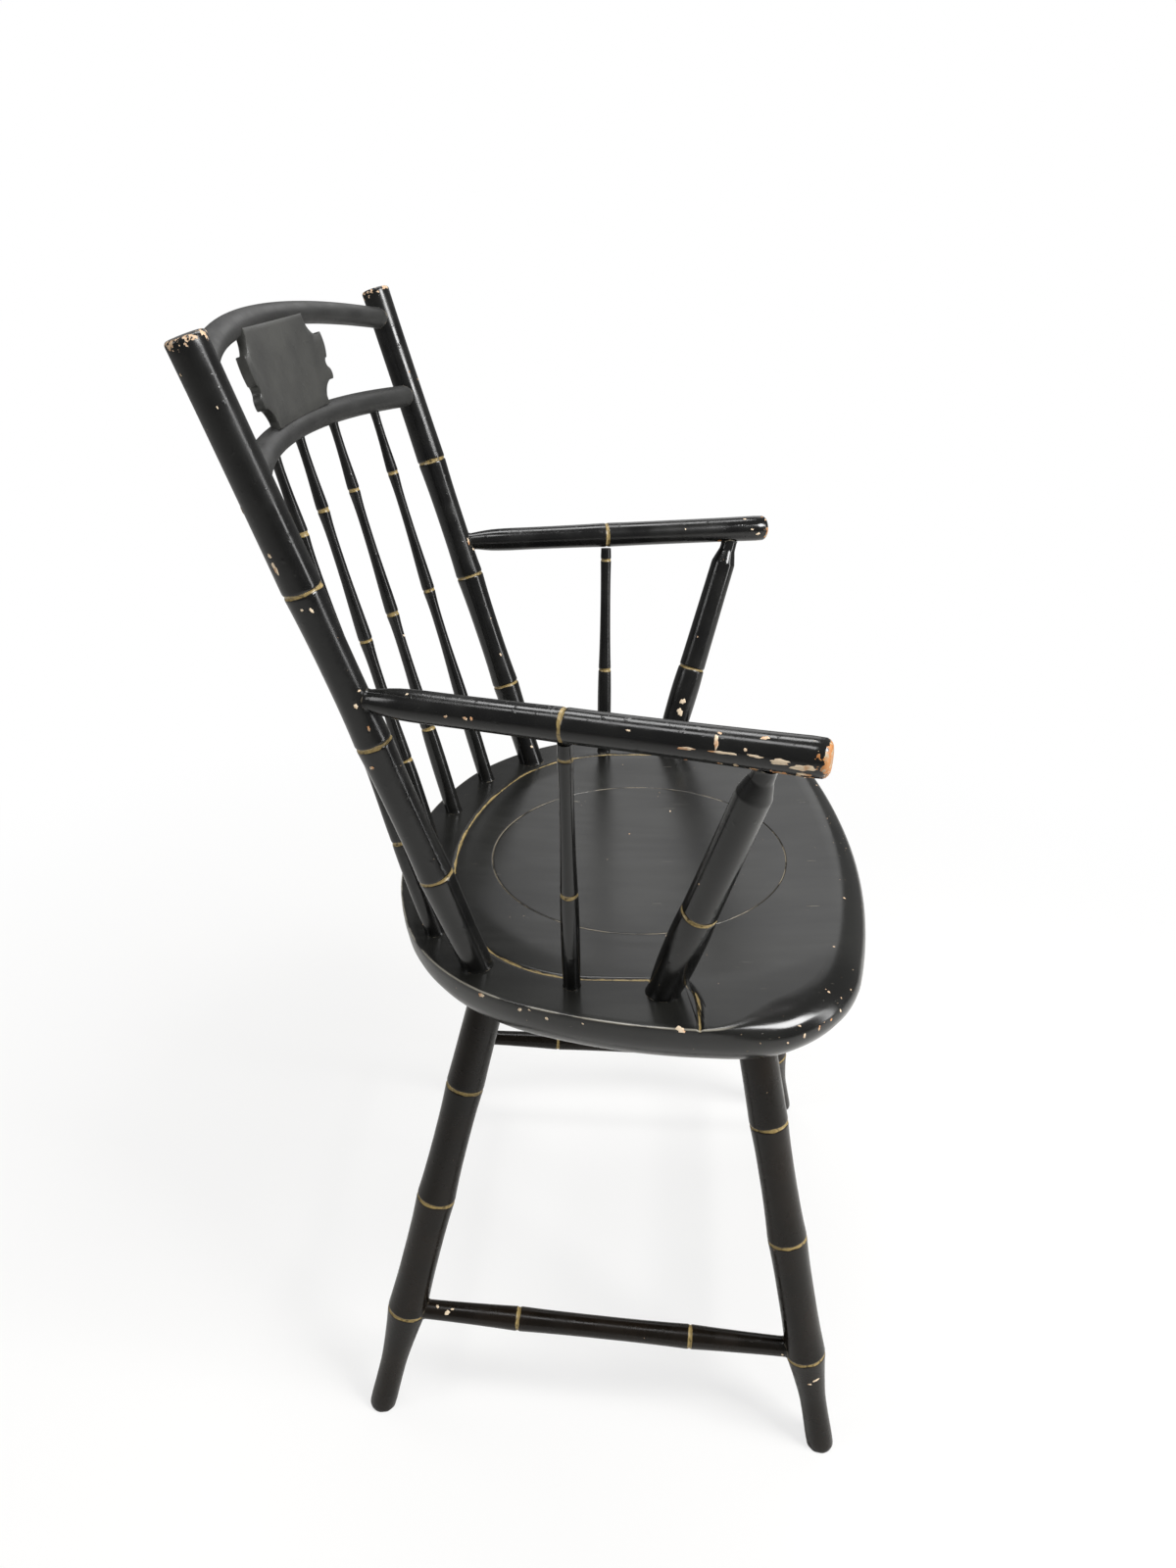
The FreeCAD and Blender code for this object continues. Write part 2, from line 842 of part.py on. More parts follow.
def make_arm_spindle(side_name, side):
    label = "arm_spindle_" + side_name
    axis = arm_spindle_axis(side)
    foot = size("arm_spindle_foot_radius")
    run = size("stick_socket_run")
    depth = size("spindle_tenon_depth")
    top = size("arm_spindle_top_radius")
    under_arm = axis.length - size("arm_ring_radius")
    head = under_arm + size("tenon_into_arm")
    mid_ring = axis.station_at_height(size("arm_post_ring_height"))
    ring = size("arm_spindle_ring_radius")
    neck = under_arm - size("arm_spindle_ring_drop")
    steps = [
        ("point", -depth, foot, None),
        ("point", run, foot, None),
        ("ring", mid_ring, ring, size("spindle_swell")),
        ("ring", neck, size("arm_spindle_neck_radius"), -size("arm_spindle_waist")),
        ("point", under_arm, top, None),
        ("point", head, top, None),
    ]
    keep(turn(label, axis, steps))
    seat_tools.append(socket(label + "_seat_socket", axis, -depth - size("end_gap"), run, foot))
    reach = size("arm_ring_radius") * 2
    return socket(label + "_head_socket", axis, head - reach, head + size("end_gap"), top)


def make_arm(side_name, side, heads):
    """A turned arm, fitted round the back post and carried on its post and spindle."""
    label = "arm_" + side_name
    axis = arm_axis(side)
    back = size("arm_back_radius")
    front = size("arm_front_radius")
    dome = size("arm_front_round")
    ring = axis.length * size("arm_ring_share")
    steps = [
        ("point", as_size(0), back, None),
        ("point", size("arm_back_neck"), back, None),
        ("ring", ring, size("arm_ring_radius"), -size("arm_back_waist")),
        ("point", axis.length - dome, front, -size("arm_waist")),
        ("point", axis.length, front - dome, dome * QUARTER_RISE),
    ]
    post = post_axis(side)
    at_post_radius = post_radius_at(size("arm_back_height") - back)
    tenon, bore = tenon_and_socket(
        label,
        axis.foot.vector(),
        -axis.direction,
        at_post_radius,
        size("arm_tenon_radius"),
        size("arm_tenon_depth"),
    )
    blank = turn(label + "_blank", axis, steps)
    coped = cut(label + "_coped", blank, [cope(label + "_cope", post, at_post_radius)])
    keep(cut(label, fuse(label + "_whole", [coped, tenon]), heads))
    return bore


def seat_section(body, name, side_inset, front_inset, level):
    """One level of the seat's edge: five tangent arcs on each side of the middle plane."""
    sketch = plane_sketch(body, name, "XY_Plane")
    bind(sketch, "AttachmentOffset.Base.z", level)
    widest = size("seat_widest_y")
    half_width = size("seat_half_width") - side_inset
    side_radius = size("seat_side_radius") - side_inset
    corner_radius = size("seat_corner_radius") - side_inset
    back_radius = size("seat_back_radius") - side_inset
    front_corner = size("seat_front_corner_radius") - (side_inset + front_inset) / 2
    back_y = widest + size("seat_back_depth") - side_inset
    front_y = widest - size("seat_front_depth") + front_inset
    side_centre = Vector((half_width - side_radius).number, widest.number, 0)
    back_centre = Vector(0, (back_y - back_radius).number, 0)
    corner_centre = meeting_centre(
        side_centre,
        (side_radius - corner_radius).number,
        back_centre,
        (back_radius - corner_radius).number,
    )
    near_side = (corner_centre - side_centre).normalize()
    near_back = (corner_centre - back_centre).normalize()
    front_centre_x = (half_width - front_corner).number
    depth = (widest - front_y).number
    front_radius = (front_centre_x ** 2 + depth ** 2 - front_corner.number ** 2) / (
        2 * (depth - front_corner.number)
    )
    front_corner_centre = Vector(front_centre_x, widest.number, 0)
    front_centre = Vector(0, front_y.number + front_radius, 0)
    near_front = (front_corner_centre - front_centre).normalize()
    arcs = (
        (back_centre, back_radius, Vector(0, 1, 0), near_back),
        (corner_centre, corner_radius, near_back, near_side),
        (side_centre, side_radius, near_side, Vector(1, 0, 0)),
        (front_corner_centre, front_corner, Vector(1, 0, 0), near_front),
        (front_centre, as_size(front_radius), near_front, Vector(0, -1, 0)),
    )
    halves = []
    for side in (1, -1):
        edges = [add_seat_arc(sketch, arc, side) for arc in arcs]
        for index in range(4):
            meet(sketch, "Tangent", edges[index], edges[index + 1])
            hold(sketch, arcs[index][1], "Radius", edges[index][0])
        back_edge, widest_edge, front_edge = edges[0], edges[2], edges[4]
        for edge in (back_edge, front_edge):
            sketch.addConstraint(Sketcher.Constraint("PointOnObject", edge[0], 3, -2))
        pin_point(sketch, back_edge[0], back_edge[1], None, back_y)
        pin_point(sketch, front_edge[0], front_edge[2], None, front_y)
        pin_point(sketch, widest_edge[0], widest_edge[2], half_width * side, widest)
        pin_point(sketch, widest_edge[0], 3, False, widest)
        halves.append(edges)
    sketch.Visibility = False
    return sketch


def meeting_centre(first, first_reach, second, second_reach):
    """The point at given reaches from two others, on the outer side of their line."""
    apart = second - first
    span = apart.Length
    along = (first_reach ** 2 - second_reach ** 2 + span ** 2) / (2 * span)
    across = math.sqrt(first_reach ** 2 - along ** 2)
    unit = apart * (1 / span)
    normal = Vector(unit.y, -unit.x, 0)
    if normal.x + normal.y < 0:
        normal = -normal
    return first + unit * along + normal * across


def add_seat_arc(sketch, arc, side):
    centre, radius, start, end = arc
    points = []
    for direction in (start, start + end, end):
        reach = Vector(direction).normalize() * radius.number
        points.append(Vector((centre.x + reach.x) * side, centre.y + reach.y, 0))
    edge = sketch.addGeometry(Part.Arc(points[0], points[1], points[2]), False)
    if (sketch.getPoint(edge, 1) - points[0]).Length < 1e-4:
        return (edge, 1, 2)
    return (edge, 2, 1)


def meet(sketch, kind, edge, following):
    sketch.addConstraint(
        Sketcher.Constraint(kind, edge[0], edge[2], following[0], following[1])
    )


def pin_point(sketch, edge, position, x, y):
    """Holds a point to the sheet; x None holds it on the middle line, False leaves x free."""
    if x is None:
        sketch.addConstraint(Sketcher.Constraint("PointOnObject", edge, position, -2))
    elif x is not False:
        hold(sketch, x, "DistanceX", -1, 1, edge, position)
    hold(sketch, y, "DistanceY", -1, 1, edge, position)


def seat_placement():
    lean = -math.degrees(math.atan(size("seat_fall").number))
    origin = Vector(0, 0, size("seat_height").number)
    return Placement(origin, Rotation(Vector(1, 0, 0), lean))


def dish_tool(name):
    """The hollow of the seat: a shallow cap of a large sphere that stands above the deck."""
    tool = doc.addObject("Part::Sphere", name)
    depth = size("dish_depth")
    half_width = size("dish_half_width")
    radius = (half_width * half_width + depth * depth) / (depth * 2)
    bind(tool, "Radius", radius)
    centre = Vector(0, size("dish_middle_y").number, (radius - depth).number)
    lying = Rotation(Vector(1, 0, 0), 90)
    tool.Placement = seat_placement().multiply(Placement(centre, lying))
    return tool


def gutter_path(body):
    """Half of the gutter's line: round the back, along the side and out to the edge."""
    sketch = plane_sketch(body, "gutter_line", "XY_Plane")
    back_y = size("gutter_back_y")
    side_x = size("gutter_side_x")
    front_y = size("gutter_front_y")
    back_radius = size("gutter_back_radius")
    corner_radius = size("gutter_corner_radius")
    turn_radius = size("gutter_turn_radius")
    back_centre = Vector(0, (back_y - back_radius).number, 0)
    corner_x = (side_x - corner_radius).number
    apart = (back_radius - corner_radius).number
    corner_y = back_centre.y + math.sqrt(apart ** 2 - corner_x ** 2)
    corner_centre = Vector(corner_x, corner_y, 0)
    near_back = (corner_centre - back_centre).normalize()
    turn_centre = Vector((side_x + turn_radius).number, (front_y + turn_radius).number, 0)
    corner_end = Vector(side_x.number, corner_y, 0)
    turn_start = Vector(side_x.number, turn_centre.y, 0)
    turn_end = Vector(turn_centre.x, front_y.number, 0)
    edge_x = size("seat_half_width") + turn_radius
    outer_end = Vector(edge_x.number, front_y.number, 0)
    edges = [
        add_seat_arc(sketch, (back_centre, back_radius, Vector(0, 1, 0), near_back), 1),
        add_seat_arc(sketch, (corner_centre, corner_radius, near_back, Vector(1, 0, 0)), 1),
        (sketch.addGeometry(Part.LineSegment(corner_end, turn_start), False), 1, 2),
        add_seat_arc(sketch, (turn_centre, turn_radius, Vector(-1, 0, 0), Vector(0, -1, 0)), 1),
        (sketch.addGeometry(Part.LineSegment(turn_end, outer_end), False), 1, 2),
    ]
    for index in range(4):
        meet(sketch, "Tangent", edges[index], edges[index + 1])
    for edge, radius in ((0, back_radius), (1, corner_radius), (3, turn_radius)):
        hold(sketch, radius, "Radius", edges[edge][0])
    sketch.addConstraint(Sketcher.Constraint("PointOnObject", edges[0][0], 3, -2))
    pin_point(sketch, edges[0][0], edges[0][1], None, back_y)
    sketch.addConstraint(Sketcher.Constraint("Vertical", edges[2][0]))
    hold(sketch, side_x, "DistanceX", -1, 1, edges[2][0], 1)
    sketch.addConstraint(Sketcher.Constraint("Horizontal", edges[4][0]))
    pin_point(sketch, edges[4][0], 2, edge_x, front_y)
    sketch.Visibility = False
    return sketch


# Levels of the seat's edge: depth, undercut and front roll, each as a share of its full size
SEAT_LEVELS = (
    (0.0, 0.06, 1.0),
    (0.06, 0.0, 0.5),
    (0.2, 0.0, 0.18),
    (0.38, 0.04, 0.0),
    (0.66, 0.27, 0.14),
    (0.9, 0.72, 0.55),
    (1.0, 1.0, 0.85),
)


def make_seat():
    body = new_body("seat_plank")
    undercut = size("seat_edge_undercut")
    roll = size("seat_front_roll")
    thickness = size("seat_thickness")
    sections = []
    for index, (level, side_share, front_share) in enumerate(SEAT_LEVELS):
        sections.append(
            seat_section(
                body,
                "seat_level_" + str(index),
                undercut * side_share,
                roll * front_share,
                -thickness * level,
            )
        )
    loft = body.newObject("PartDesign::AdditiveLoft", "seat_edge_loft")
    loft.Profile = sections[0]
    loft.Sections = sections[1:]
    loft.Ruled = True
    path = gutter_path(body)
    profile = plane_sketch(body, "gutter_section", "YZ_Plane")
    gutter_y = size("gutter_back_y")
    gutter_side = size("gutter_half_width")
    gutter_depth = size("gutter_depth")
    section = Outline(profile)
    section.begin(gutter_y, -gutter_depth)
    section.to(gutter_y + gutter_side * 2, gutter_depth)
    section.to(gutter_y - gutter_side * 2, gutter_depth)
    section.close()
    profile.Visibility = False
    gutter = body.newObject("PartDesign::SubtractivePipe", "seat_gutter")
    gutter.Profile = profile
    gutter.Spine = (path, [])
    other_half = body.newObject("PartDesign::Mirrored", "seat_gutter_mirrored")
    other_half.Originals = [gutter]
    planes = [item for item in body.Origin.OriginFeatures if item.Role == "YZ_Plane"]
    other_half.MirrorPlane = (planes[0], [""])
    body.Tip = other_half
    body.Placement = seat_placement()
    up = seat_placement().Rotation.multVec(Vector(0, 0, 1))
    middle = seat_placement().multVec(Vector(0, size("plug_middle_y").number, 0))
    hole = rod(
        "plug_hole",
        middle - up * thickness.number * 1.5,
        up,
        size("plug_radius") + size("fit_gap"),
        thickness * 2,
    )
    keep(cut("seat", body, [dish_tool("seat_dish"), hole] + seat_tools))
    disc = rod("plug_disc", middle - up * thickness.number, up, size("plug_radius"), thickness)
    keep(cut("seat_plug", disc, [dish_tool("plug_dish")]))


def make_chair():
    post_bores = {-1: [], 1: []}
    lower = Bow(
        "lower_rod",
        size("lower_rod_height"),
        size("lower_rod_bow"),
        size("lower_rod_rise"),
        size("lower_rod_radius"),
    )
    crest = Bow(
        "crest_rod",
        size("crest_height"),
        size("crest_bow"),
        size("crest_rise"),
        size("crest_radius"),
    )
    for which in ("front", "back"):
        for side_name, side in SIDES:
            make_leg(which, side_name, side)
        make_stretcher("stretcher_" + which, cross_stretcher_axis(which))
    for side_name, side in SIDES:
        make_stretcher("stretcher_" + side_name, side_stretcher_axis(side))
        heads = [make_arm_post(side_name, side), make_arm_spindle(side_name, side)]
        post_bores[side].append(make_arm(side_name, side, heads))
    heads = []
    for number, place in enumerate((-2, -1, 0, 1, 2), start=1):
        axis = spindle_axis(lower, place)
        heads.append(make_spindle("back_spindle_" + str(number), axis, lower.radius))
    top_slot, low_slot = make_tablet(lower, crest)
    make_bow(lower, post_bores, low_slot, heads)
    make_bow(crest, post_bores, top_slot, [])
    for side_name, side in SIDES:
        make_post(side_name, side, post_bores[side])
    make_seat()


def check_and_write():
    doc.recompute()
    for item in doc.Objects:
        if "Invalid" in item.State or "Error" in item.State:
            raise RuntimeError(item.Label + " is in the state " + str(item.State))
    os.makedirs("parts", exist_ok=True)
    for piece in parts:
        if piece.Shape.isNull() or not piece.Shape.isValid():
            raise RuntimeError(piece.Label + " has no valid shape")
        if len(piece.Shape.Solids) != 1:
            raise RuntimeError(piece.Label + " is not one solid")
        piece.Shape.exportStep("parts/" + piece.Label + ".step")


make_chair()
check_and_write()
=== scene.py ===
import math

import bmesh
import bpy
import numpy as np
from mathutils import Matrix, Vector
from mathutils.bvhtree import BVHTree
from mathutils.geometry import delaunay_2d_cdt


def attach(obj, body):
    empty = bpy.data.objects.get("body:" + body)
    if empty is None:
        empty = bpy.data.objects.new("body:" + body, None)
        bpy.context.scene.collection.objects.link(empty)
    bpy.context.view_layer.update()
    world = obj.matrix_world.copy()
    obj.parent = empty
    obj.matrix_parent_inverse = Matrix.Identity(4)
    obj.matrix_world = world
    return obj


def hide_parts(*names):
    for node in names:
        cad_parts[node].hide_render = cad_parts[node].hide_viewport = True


# Black-painted rod-back Windsor armchair with bamboo-turned sticks.
# Lengths below are millimetres in the part's frame; meshes are written in metres.

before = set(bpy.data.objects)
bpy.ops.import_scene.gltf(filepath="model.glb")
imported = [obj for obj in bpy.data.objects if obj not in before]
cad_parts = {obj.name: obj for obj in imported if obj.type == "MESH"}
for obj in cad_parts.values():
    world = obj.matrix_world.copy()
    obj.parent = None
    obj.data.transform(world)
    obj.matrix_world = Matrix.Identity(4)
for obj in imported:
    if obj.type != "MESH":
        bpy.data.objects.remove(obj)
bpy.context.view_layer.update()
MM = 0.001
RIGHT, LEFT = -1, 1
SIDES = ((RIGHT, "right"), (LEFT, "left"))
# value of the ring and seam attributes where no score or seam is near, mm
FAR = 12.0
CHIP_COLUMNS = 16
# paint collars at the joints, and the scores of the rings
BEAD_HEIGHT, BEAD_WIDTH = 0.55, 1.0
SCORE_WIDTH = 1.15
# a stick's grain starts this far along for each unit of its seed, so no two sticks look alike
SEED_STEP = 500.0
# unevenness of hand work on a full-sized stick and on a bent rod
STICK_WOBBLE, ROD_WOBBLE, FULL_RADIUS = 0.28, 0.25, 12.0

# seat plank
SEAT_HEIGHT = 458.0
SEAT_FALL = 0.0489
SEAT_THICKNESS = 40.0
SEAT_HALF_WIDTH = 246.0
SEAT_BACK_DEPTH = 262.0
SEAT_FRONT_DEPTH = 123.0
SEAT_WIDEST_Y = -114.0
SEAT_SIDE_RADIUS = 400.0
SEAT_CORNER_RADIUS = 171.0
SEAT_BACK_RADIUS = 325.0
SEAT_FRONT_CORNER = 106.5
DISH_DEPTH = 10.0
DISH_HALF_WIDTH = 187.0
DISH_MIDDLE_Y = -86.0
GUTTER_BACK_Y = 104.0
GUTTER_SIDE_X = 190.0
GUTTER_BACK_RADIUS = 287.0
GUTTER_CORNER_RADIUS = 108.0
GUTTER_FRONT_Y = -99.0
GUTTER_TURN_RADIUS = 26.0
GUTTER_DEPTH = 1.3
GUTTER_WIDTH = 1.5
PLUG_RADIUS = 125.0
PLUG_MIDDLE_Y = -51.0
PLUG_GAP = 0.12
PLUG_COLUMNS, PLUG_RINGS = 240, 44

# sticks
LOW_RING, MID_RING, HIGH_RING = 534.0, 638.0, 741.0
POST_FOOT = (174.0, 61.0)
POST_TOP = (217.0, 201.0, 884.0)
CREST_HEIGHT, CREST_BOW, CREST_RISE, CREST_RADIUS = 860.0, 42.0, 16.0, 8.6
LOWER_HEIGHT, LOWER_BOW, LOWER_RISE, LOWER_RADIUS = 797.0, 41.0, 5.0, 9.2
SPINDLE_TOP_STEP = 74.0
SPINDLE_FOOT_STEP = 66.5
SPINDLE_FOOT_Y = 127.0
SPINDLE_FOOT_ARC = 340.0
ARM_FRONT = (267.0, -160.0, 674.0)
ARM_BACK_HEIGHT = 669.0
ARM_RING_SHARE = 0.47
ARM_POST_FOOT = (204.0, -74.0)
ARM_POST_REACH = 33.0
ARM_RING_HEIGHT = 542.0
ARM_SPINDLE_FOOT = (198.0, -10.0)
LEGS = {
    "front": {"foot": (210.0, -230.0), "top": (127.0, -138.0), "ring": 90.0, "stretcher": 93.0},
    "back": {"foot": (203.0, 153.0), "top": (116.0, 56.0), "ring": 98.0, "stretcher": 98.0},
}
LEG_RING_STEPS = (0.0, 109.0, 212.0)
LEG_RADIUS_AT_STRETCHER = 16.6
POST_RADIUS_AT_RODS, POST_RADIUS_AT_ARM = 12.4, 11.8
ARM_RADIUS_AT_RING, ARM_RADIUS_AT_POST, ARM_RADIUS_AT_END = 11.3, 12.0, 12.4
CROSS_STRETCHER_HEIGHT = 123.0

# camera and picture
CAMERA_PLACE = (-856.3, -59.1, 944.9)
CAMERA_YAW, CAMERA_PITCH, CAMERA_ROLL = 3.5, 26.41, 1.02
CAMERA_FOCAL_PIXELS = 1169.0
PICTURE_WIDTH = 1200.0
SENSOR_WIDTH = 36.0


# Small helpers for arrays and meshes

def vec(*numbers):
    return np.array(numbers, float)


def unit(vector):
    return vector / np.linalg.norm(vector)


def smooth(low, high, value):
    """Smooth step: 0 below low, 1 above high, 3t^2 - 2t^3 between."""
    t = np.clip((value - low) / (high - low), 0.0, 1.0)
    return t * t * (3.0 - 2.0 * t)


def bell(gap, width):
    """Bell shape exp(-(gap / width)^2): 1 at no gap, gone at about twice the width."""
    return np.exp(-((gap / width) ** 2))


def turn_angles(columns):
    """Even angles once round, the last one short of the first."""
    return np.linspace(0, 2 * math.pi, columns, endpoint=False)


def spokes(angle, first, second):
    """Directions cos(angle) first + sin(angle) second."""
    return np.cos(angle)[..., None] * first + np.sin(angle)[..., None] * second


def deck_height(y):
    """Height of the deck's plane, which falls evenly towards the back."""
    return SEAT_HEIGHT - SEAT_FALL * y


def deck_spot(x, y):
    """The point of the deck's plane above (x, y)."""
    return vec(x, y, deck_height(y))


def make_piece(name, points, faces, attributes, material, nodes):
    """A closed mesh from points (mm), faces as index rows, and one value per point for each attribute."""
    mesh = bpy.data.meshes.new(name)
    sizes = np.concatenate([np.full(len(rows), rows.shape[1]) for rows in faces])
    corners = np.concatenate([rows.ravel() for rows in faces])
    mesh.vertices.add(len(points))
    mesh.vertices.foreach_set("co", (points * MM).astype(np.float32).ravel())
    mesh.loops.add(len(corners))
    mesh.loops.foreach_set("vertex_index", corners.astype(np.int32))
    mesh.polygons.add(len(sizes))
    starts = np.concatenate([[0], np.cumsum(sizes)[:-1]])
    mesh.polygons.foreach_set("loop_start", starts.astype(np.int32))
    mesh.update(calc_edges=True)
    mesh.validate()
    for key, values in attributes.items():
        kind = "FLOAT_VECTOR" if values.ndim == 2 else "FLOAT"
        layer = mesh.attributes.new(key, kind, "POINT")
        field = "vector" if values.ndim == 2 else "value"
        layer.data.foreach_set(field, values.astype(np.float32).ravel())
    mesh.polygons.foreach_set("use_smooth", np.ones(len(mesh.polygons), bool))
    mesh.set_sharp_from_angle(angle=math.radians(50))
    mesh.materials.append(material)
    piece = bpy.data.objects.new(name, mesh)
    bpy.context.scene.collection.objects.link(piece)
    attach(piece, "root")
    if nodes:
        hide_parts(*nodes)
    return piece


def tube_faces(rows, columns):
    """Quads of a grid that is closed round its columns, with a fan to one extra point at each end."""
    row = np.arange(rows - 1)[:, None] * columns
    column = np.arange(columns)[None, :]
    beside = (column + 1) % columns
    quads = np.stack(
        [row + column, row + beside, row + columns + beside, row + columns + column], axis=-1
    ).reshape(-1, 4)
    first, last = rows * columns, rows * columns + 1
    ring = np.arange(columns)
    following = (ring + 1) % columns
    top = (rows - 1) * columns
    low_fan = np.stack([following, ring, np.full(columns, first)], axis=-1)
    high_fan = np.stack([top + ring, top + following, np.full(columns, last)], axis=-1)
    return [quads, low_fan, high_fan]


def torus_faces(rows, columns):
    """Quads of a grid that is closed both round its columns and along its rows."""
    row = np.arange(rows)[:, None] * columns
    following_row = (np.arange(rows)[:, None] + 1) % rows * columns
    column = np.arange(columns)[None, :]
    beside = (column + 1) % columns
    return [
        np.stack(
            [row + column, row + beside, following_row + beside, following_row + column], axis=-1
        ).reshape(-1, 4)
    ]


# Turned sticks

class Stick:
    """A straight centre line from foot to head, with stations in mm from the foot."""

    def __init__(self, foot, head):
        self.foot = foot
        self.length = np.linalg.norm(head - foot)
        self.direction = unit(head - foot)
        side = np.cross(self.direction, vec(0, 0, 1))
        if np.linalg.norm(side) < 0.2:
            side = np.cross(self.direction, vec(0, 1, 0))
        self.side = unit(side)
        self.front = np.cross(self.direction, self.side)

    def at(self, station):
        """Point at a station: foot + direction x station."""
        return self.foot + self.direction * station

    def at_height(self, height):
        """Station at which the line reaches a height above the floor."""
        return (height - self.foot[2]) / self.direction[2]


def bamboo_radius(stations, knots, waists, rings, groove, skew=1.0):
    """Radius along a stick: straight lines between knots, less a waist w(1 - |2t - 1|^2.6) for each
    stretch, less a narrow bell-shaped score at each ring. A skew over 1 moves the waists upwards."""
    places = np.array([knot[0] for knot in knots])
    sizes = np.array([knot[1] for knot in knots])
    radius = np.interp(stations, places, sizes)
    for index, waist in enumerate(waists):
        t = np.clip((stations - places[index]) / (places[index + 1] - places[index]), 0, 1)
        radius -= waist * (1 - np.abs(2 * t ** skew - 1) ** 2.6)
    for ring in rings:
        radius -= groove * bell(stations - ring, SCORE_WIDTH)
    return radius


def station_rows(start, end, rings, dense, spacing=6.0):
    """Stations from start to end: even ones, with extra ones close to every ring and dense stretch."""
    rows = [np.linspace(start, end, max(4, int((end - start) / spacing)))]
    near = np.array([0, 0.45, 0.9, 1.4, 2.0, 2.8, 4.0])
    for ring in rings:
        rows.append(ring + near)
        rows.append(ring - near)
    for low, high in dense:
        rows.append(np.arange(low, high, 0.9))
    rows = np.unique(np.round(np.concatenate(rows), 2))
    return rows[(rows >= start) & (rows <= end)]


def stick_profile(knots, waists, rings, groove, skew, head_round, foot_round, dense):
    """Stations and radii of a stick's half-section. A rounded end follows a quarter circle, and two more
    rows lead to the middle of each end."""
    start, end = knots[0][0], knots[-1][0]
    stations = station_rows(start + foot_round, end - head_round, rings, dense)
    radius = bamboo_radius(stations, knots, waists, rings, groove, skew)
    turn = np.radians(np.array([18, 36, 54, 72, 90]))
    if head_round:
        stations = np.append(stations, end - head_round + head_round * np.sin(turn))
        radius = np.append(radius, radius[-1] - head_round * (1 - np.cos(turn)))
    if foot_round:
        stations = np.append((start + foot_round - foot_round * np.sin(turn))[::-1], stations)
        radius = np.append((radius[0] - foot_round * (1 - np.cos(turn)))[::-1], radius)
    inner = np.array([0.66, 0.33])
    stations = np.concatenate([[stations[0]] * 2, stations, [stations[-1]] * 2])
    return stations, np.concatenate([radius[0] * inner[::-1], radius, radius[-1] * inner])


def turned(name, stick, knots, waists, rings, node, material, seed, columns=40, groove=0.9,
           skew=1.0, head_round=0.0, foot_round=0.0, beads=(), dense=(), bare=None, worn_head=0.0,
           spots=(), lines=()):
    """A lathe surface round the stick's line: point = line(station) + radius(station) (cos a, sin a).
    The beads are small paint collars where it meets its neighbour."""
    end = knots[-1][0]
    stations, radius = stick_profile(knots, waists, rings, groove, skew, head_round, foot_round, dense)
    s, a = np.meshgrid(stations, turn_angles(columns), indexing="ij")
    wobble = 0.5 + 0.25 * np.sin(s / 37.0 + seed) + 0.25 * np.sin(2 * a + s / 61.0 + 2.3 * seed)
    r = radius[:, None] - STICK_WOBBLE * wobble * np.minimum(radius[:, None] / FULL_RADIUS, 1.0)
    across = spokes(a, stick.side, stick.front)
    points = stick.foot + stick.direction * s[..., None] + across * r[..., None]
    bead = np.zeros_like(s)
    for distance in beads:
        bead = np.maximum(bead, bell(distance(points), BEAD_WIDTH))
    points += across * (BEAD_HEIGHT * bead)[..., None]
    ring_gap = np.full_like(s, FAR)
    for ring in (*rings, *lines):
        ring_gap = np.minimum(ring_gap, np.abs(s - ring))
    rim = smooth(0.55, 0.9, radius / knots[-1][1])[:, None]
    wear = worn_head * rim * np.exp(-(((end - s) / 4.5) ** 4))
    bare_wood = np.zeros_like(s) if bare is None else bare(s, a)
    grain = np.stack([r * np.cos(a), r * np.sin(a), s + SEED_STEP * seed], axis=-1)
    points = np.concatenate([points.reshape(-1, 3), [stick.at(stations[0]), stick.at(stations[-1])]])
    points[:, 2] = np.maximum(points[:, 2], 0.0)
    grain = np.concatenate([grain.reshape(-1, 3), [(0, 0, stations[0]), (0, 0, stations[-1])]])

    def ends(values):
        """Values of the grid with one more for the middle of each end."""
        return np.concatenate([values.ravel(), [values[0, 0], values[-1, 0]]])

    attributes = {
        "grain": grain,
        "ring": ends(ring_gap),
        "bead": ends(bead),
        "wear": ends(wear),
        "bare": ends(bare_wood),
    }
    faces = tube_faces(len(stations), columns)
    make_piece(name, points, faces, attributes, material, [node])
    if spots:
        middle = np.array([spot[0] for spot in spots])
        chips(name + "_chips", stick, spots, bamboo_radius(middle, knots, waists, rings, 0.0, skew), seed)


def lens(k):
    """A chip's shape as (across, along, lift): rings on the wavy outline
    q(a) = 1 + 0.25 sin(2a + k) + 0.18 sin(5a + 2k), 0.18 mm proud in the middle, sunk at the rim."""
    a = turn_angles(CHIP_COLUMNS)
    q = 1 + 0.25 * np.sin(2 * a + k) + 0.18 * np.sin(5 * a + 2 * k)
    reach = np.array([0.5, 0.85, 1.0, 0.5])[:, None] * q / 2
    lift = np.array([0.17, 0.12, -0.1, -0.35])[:, None] + 0 * a
    return (
        np.append((reach * np.cos(a)).ravel(), [0, 0]),
        np.append((reach * np.sin(a)).ravel(), [0, 0]),
        np.append(lift.ravel(), [0.18, -0.35]),
    )


def chip_piece(name, patches):
    """One mesh of all the chips on a piece; each patch holds the points of one closed lens."""
    parts = tube_faces(4, CHIP_COLUMNS)
    bases = np.arange(len(patches)) * len(patches[0])
    faces = [np.concatenate([part + base for base in bases]) for part in parts]
    points = np.concatenate(patches)
    weld(make_piece(name, points, faces, {"grain": points}, chipped_ground, []))


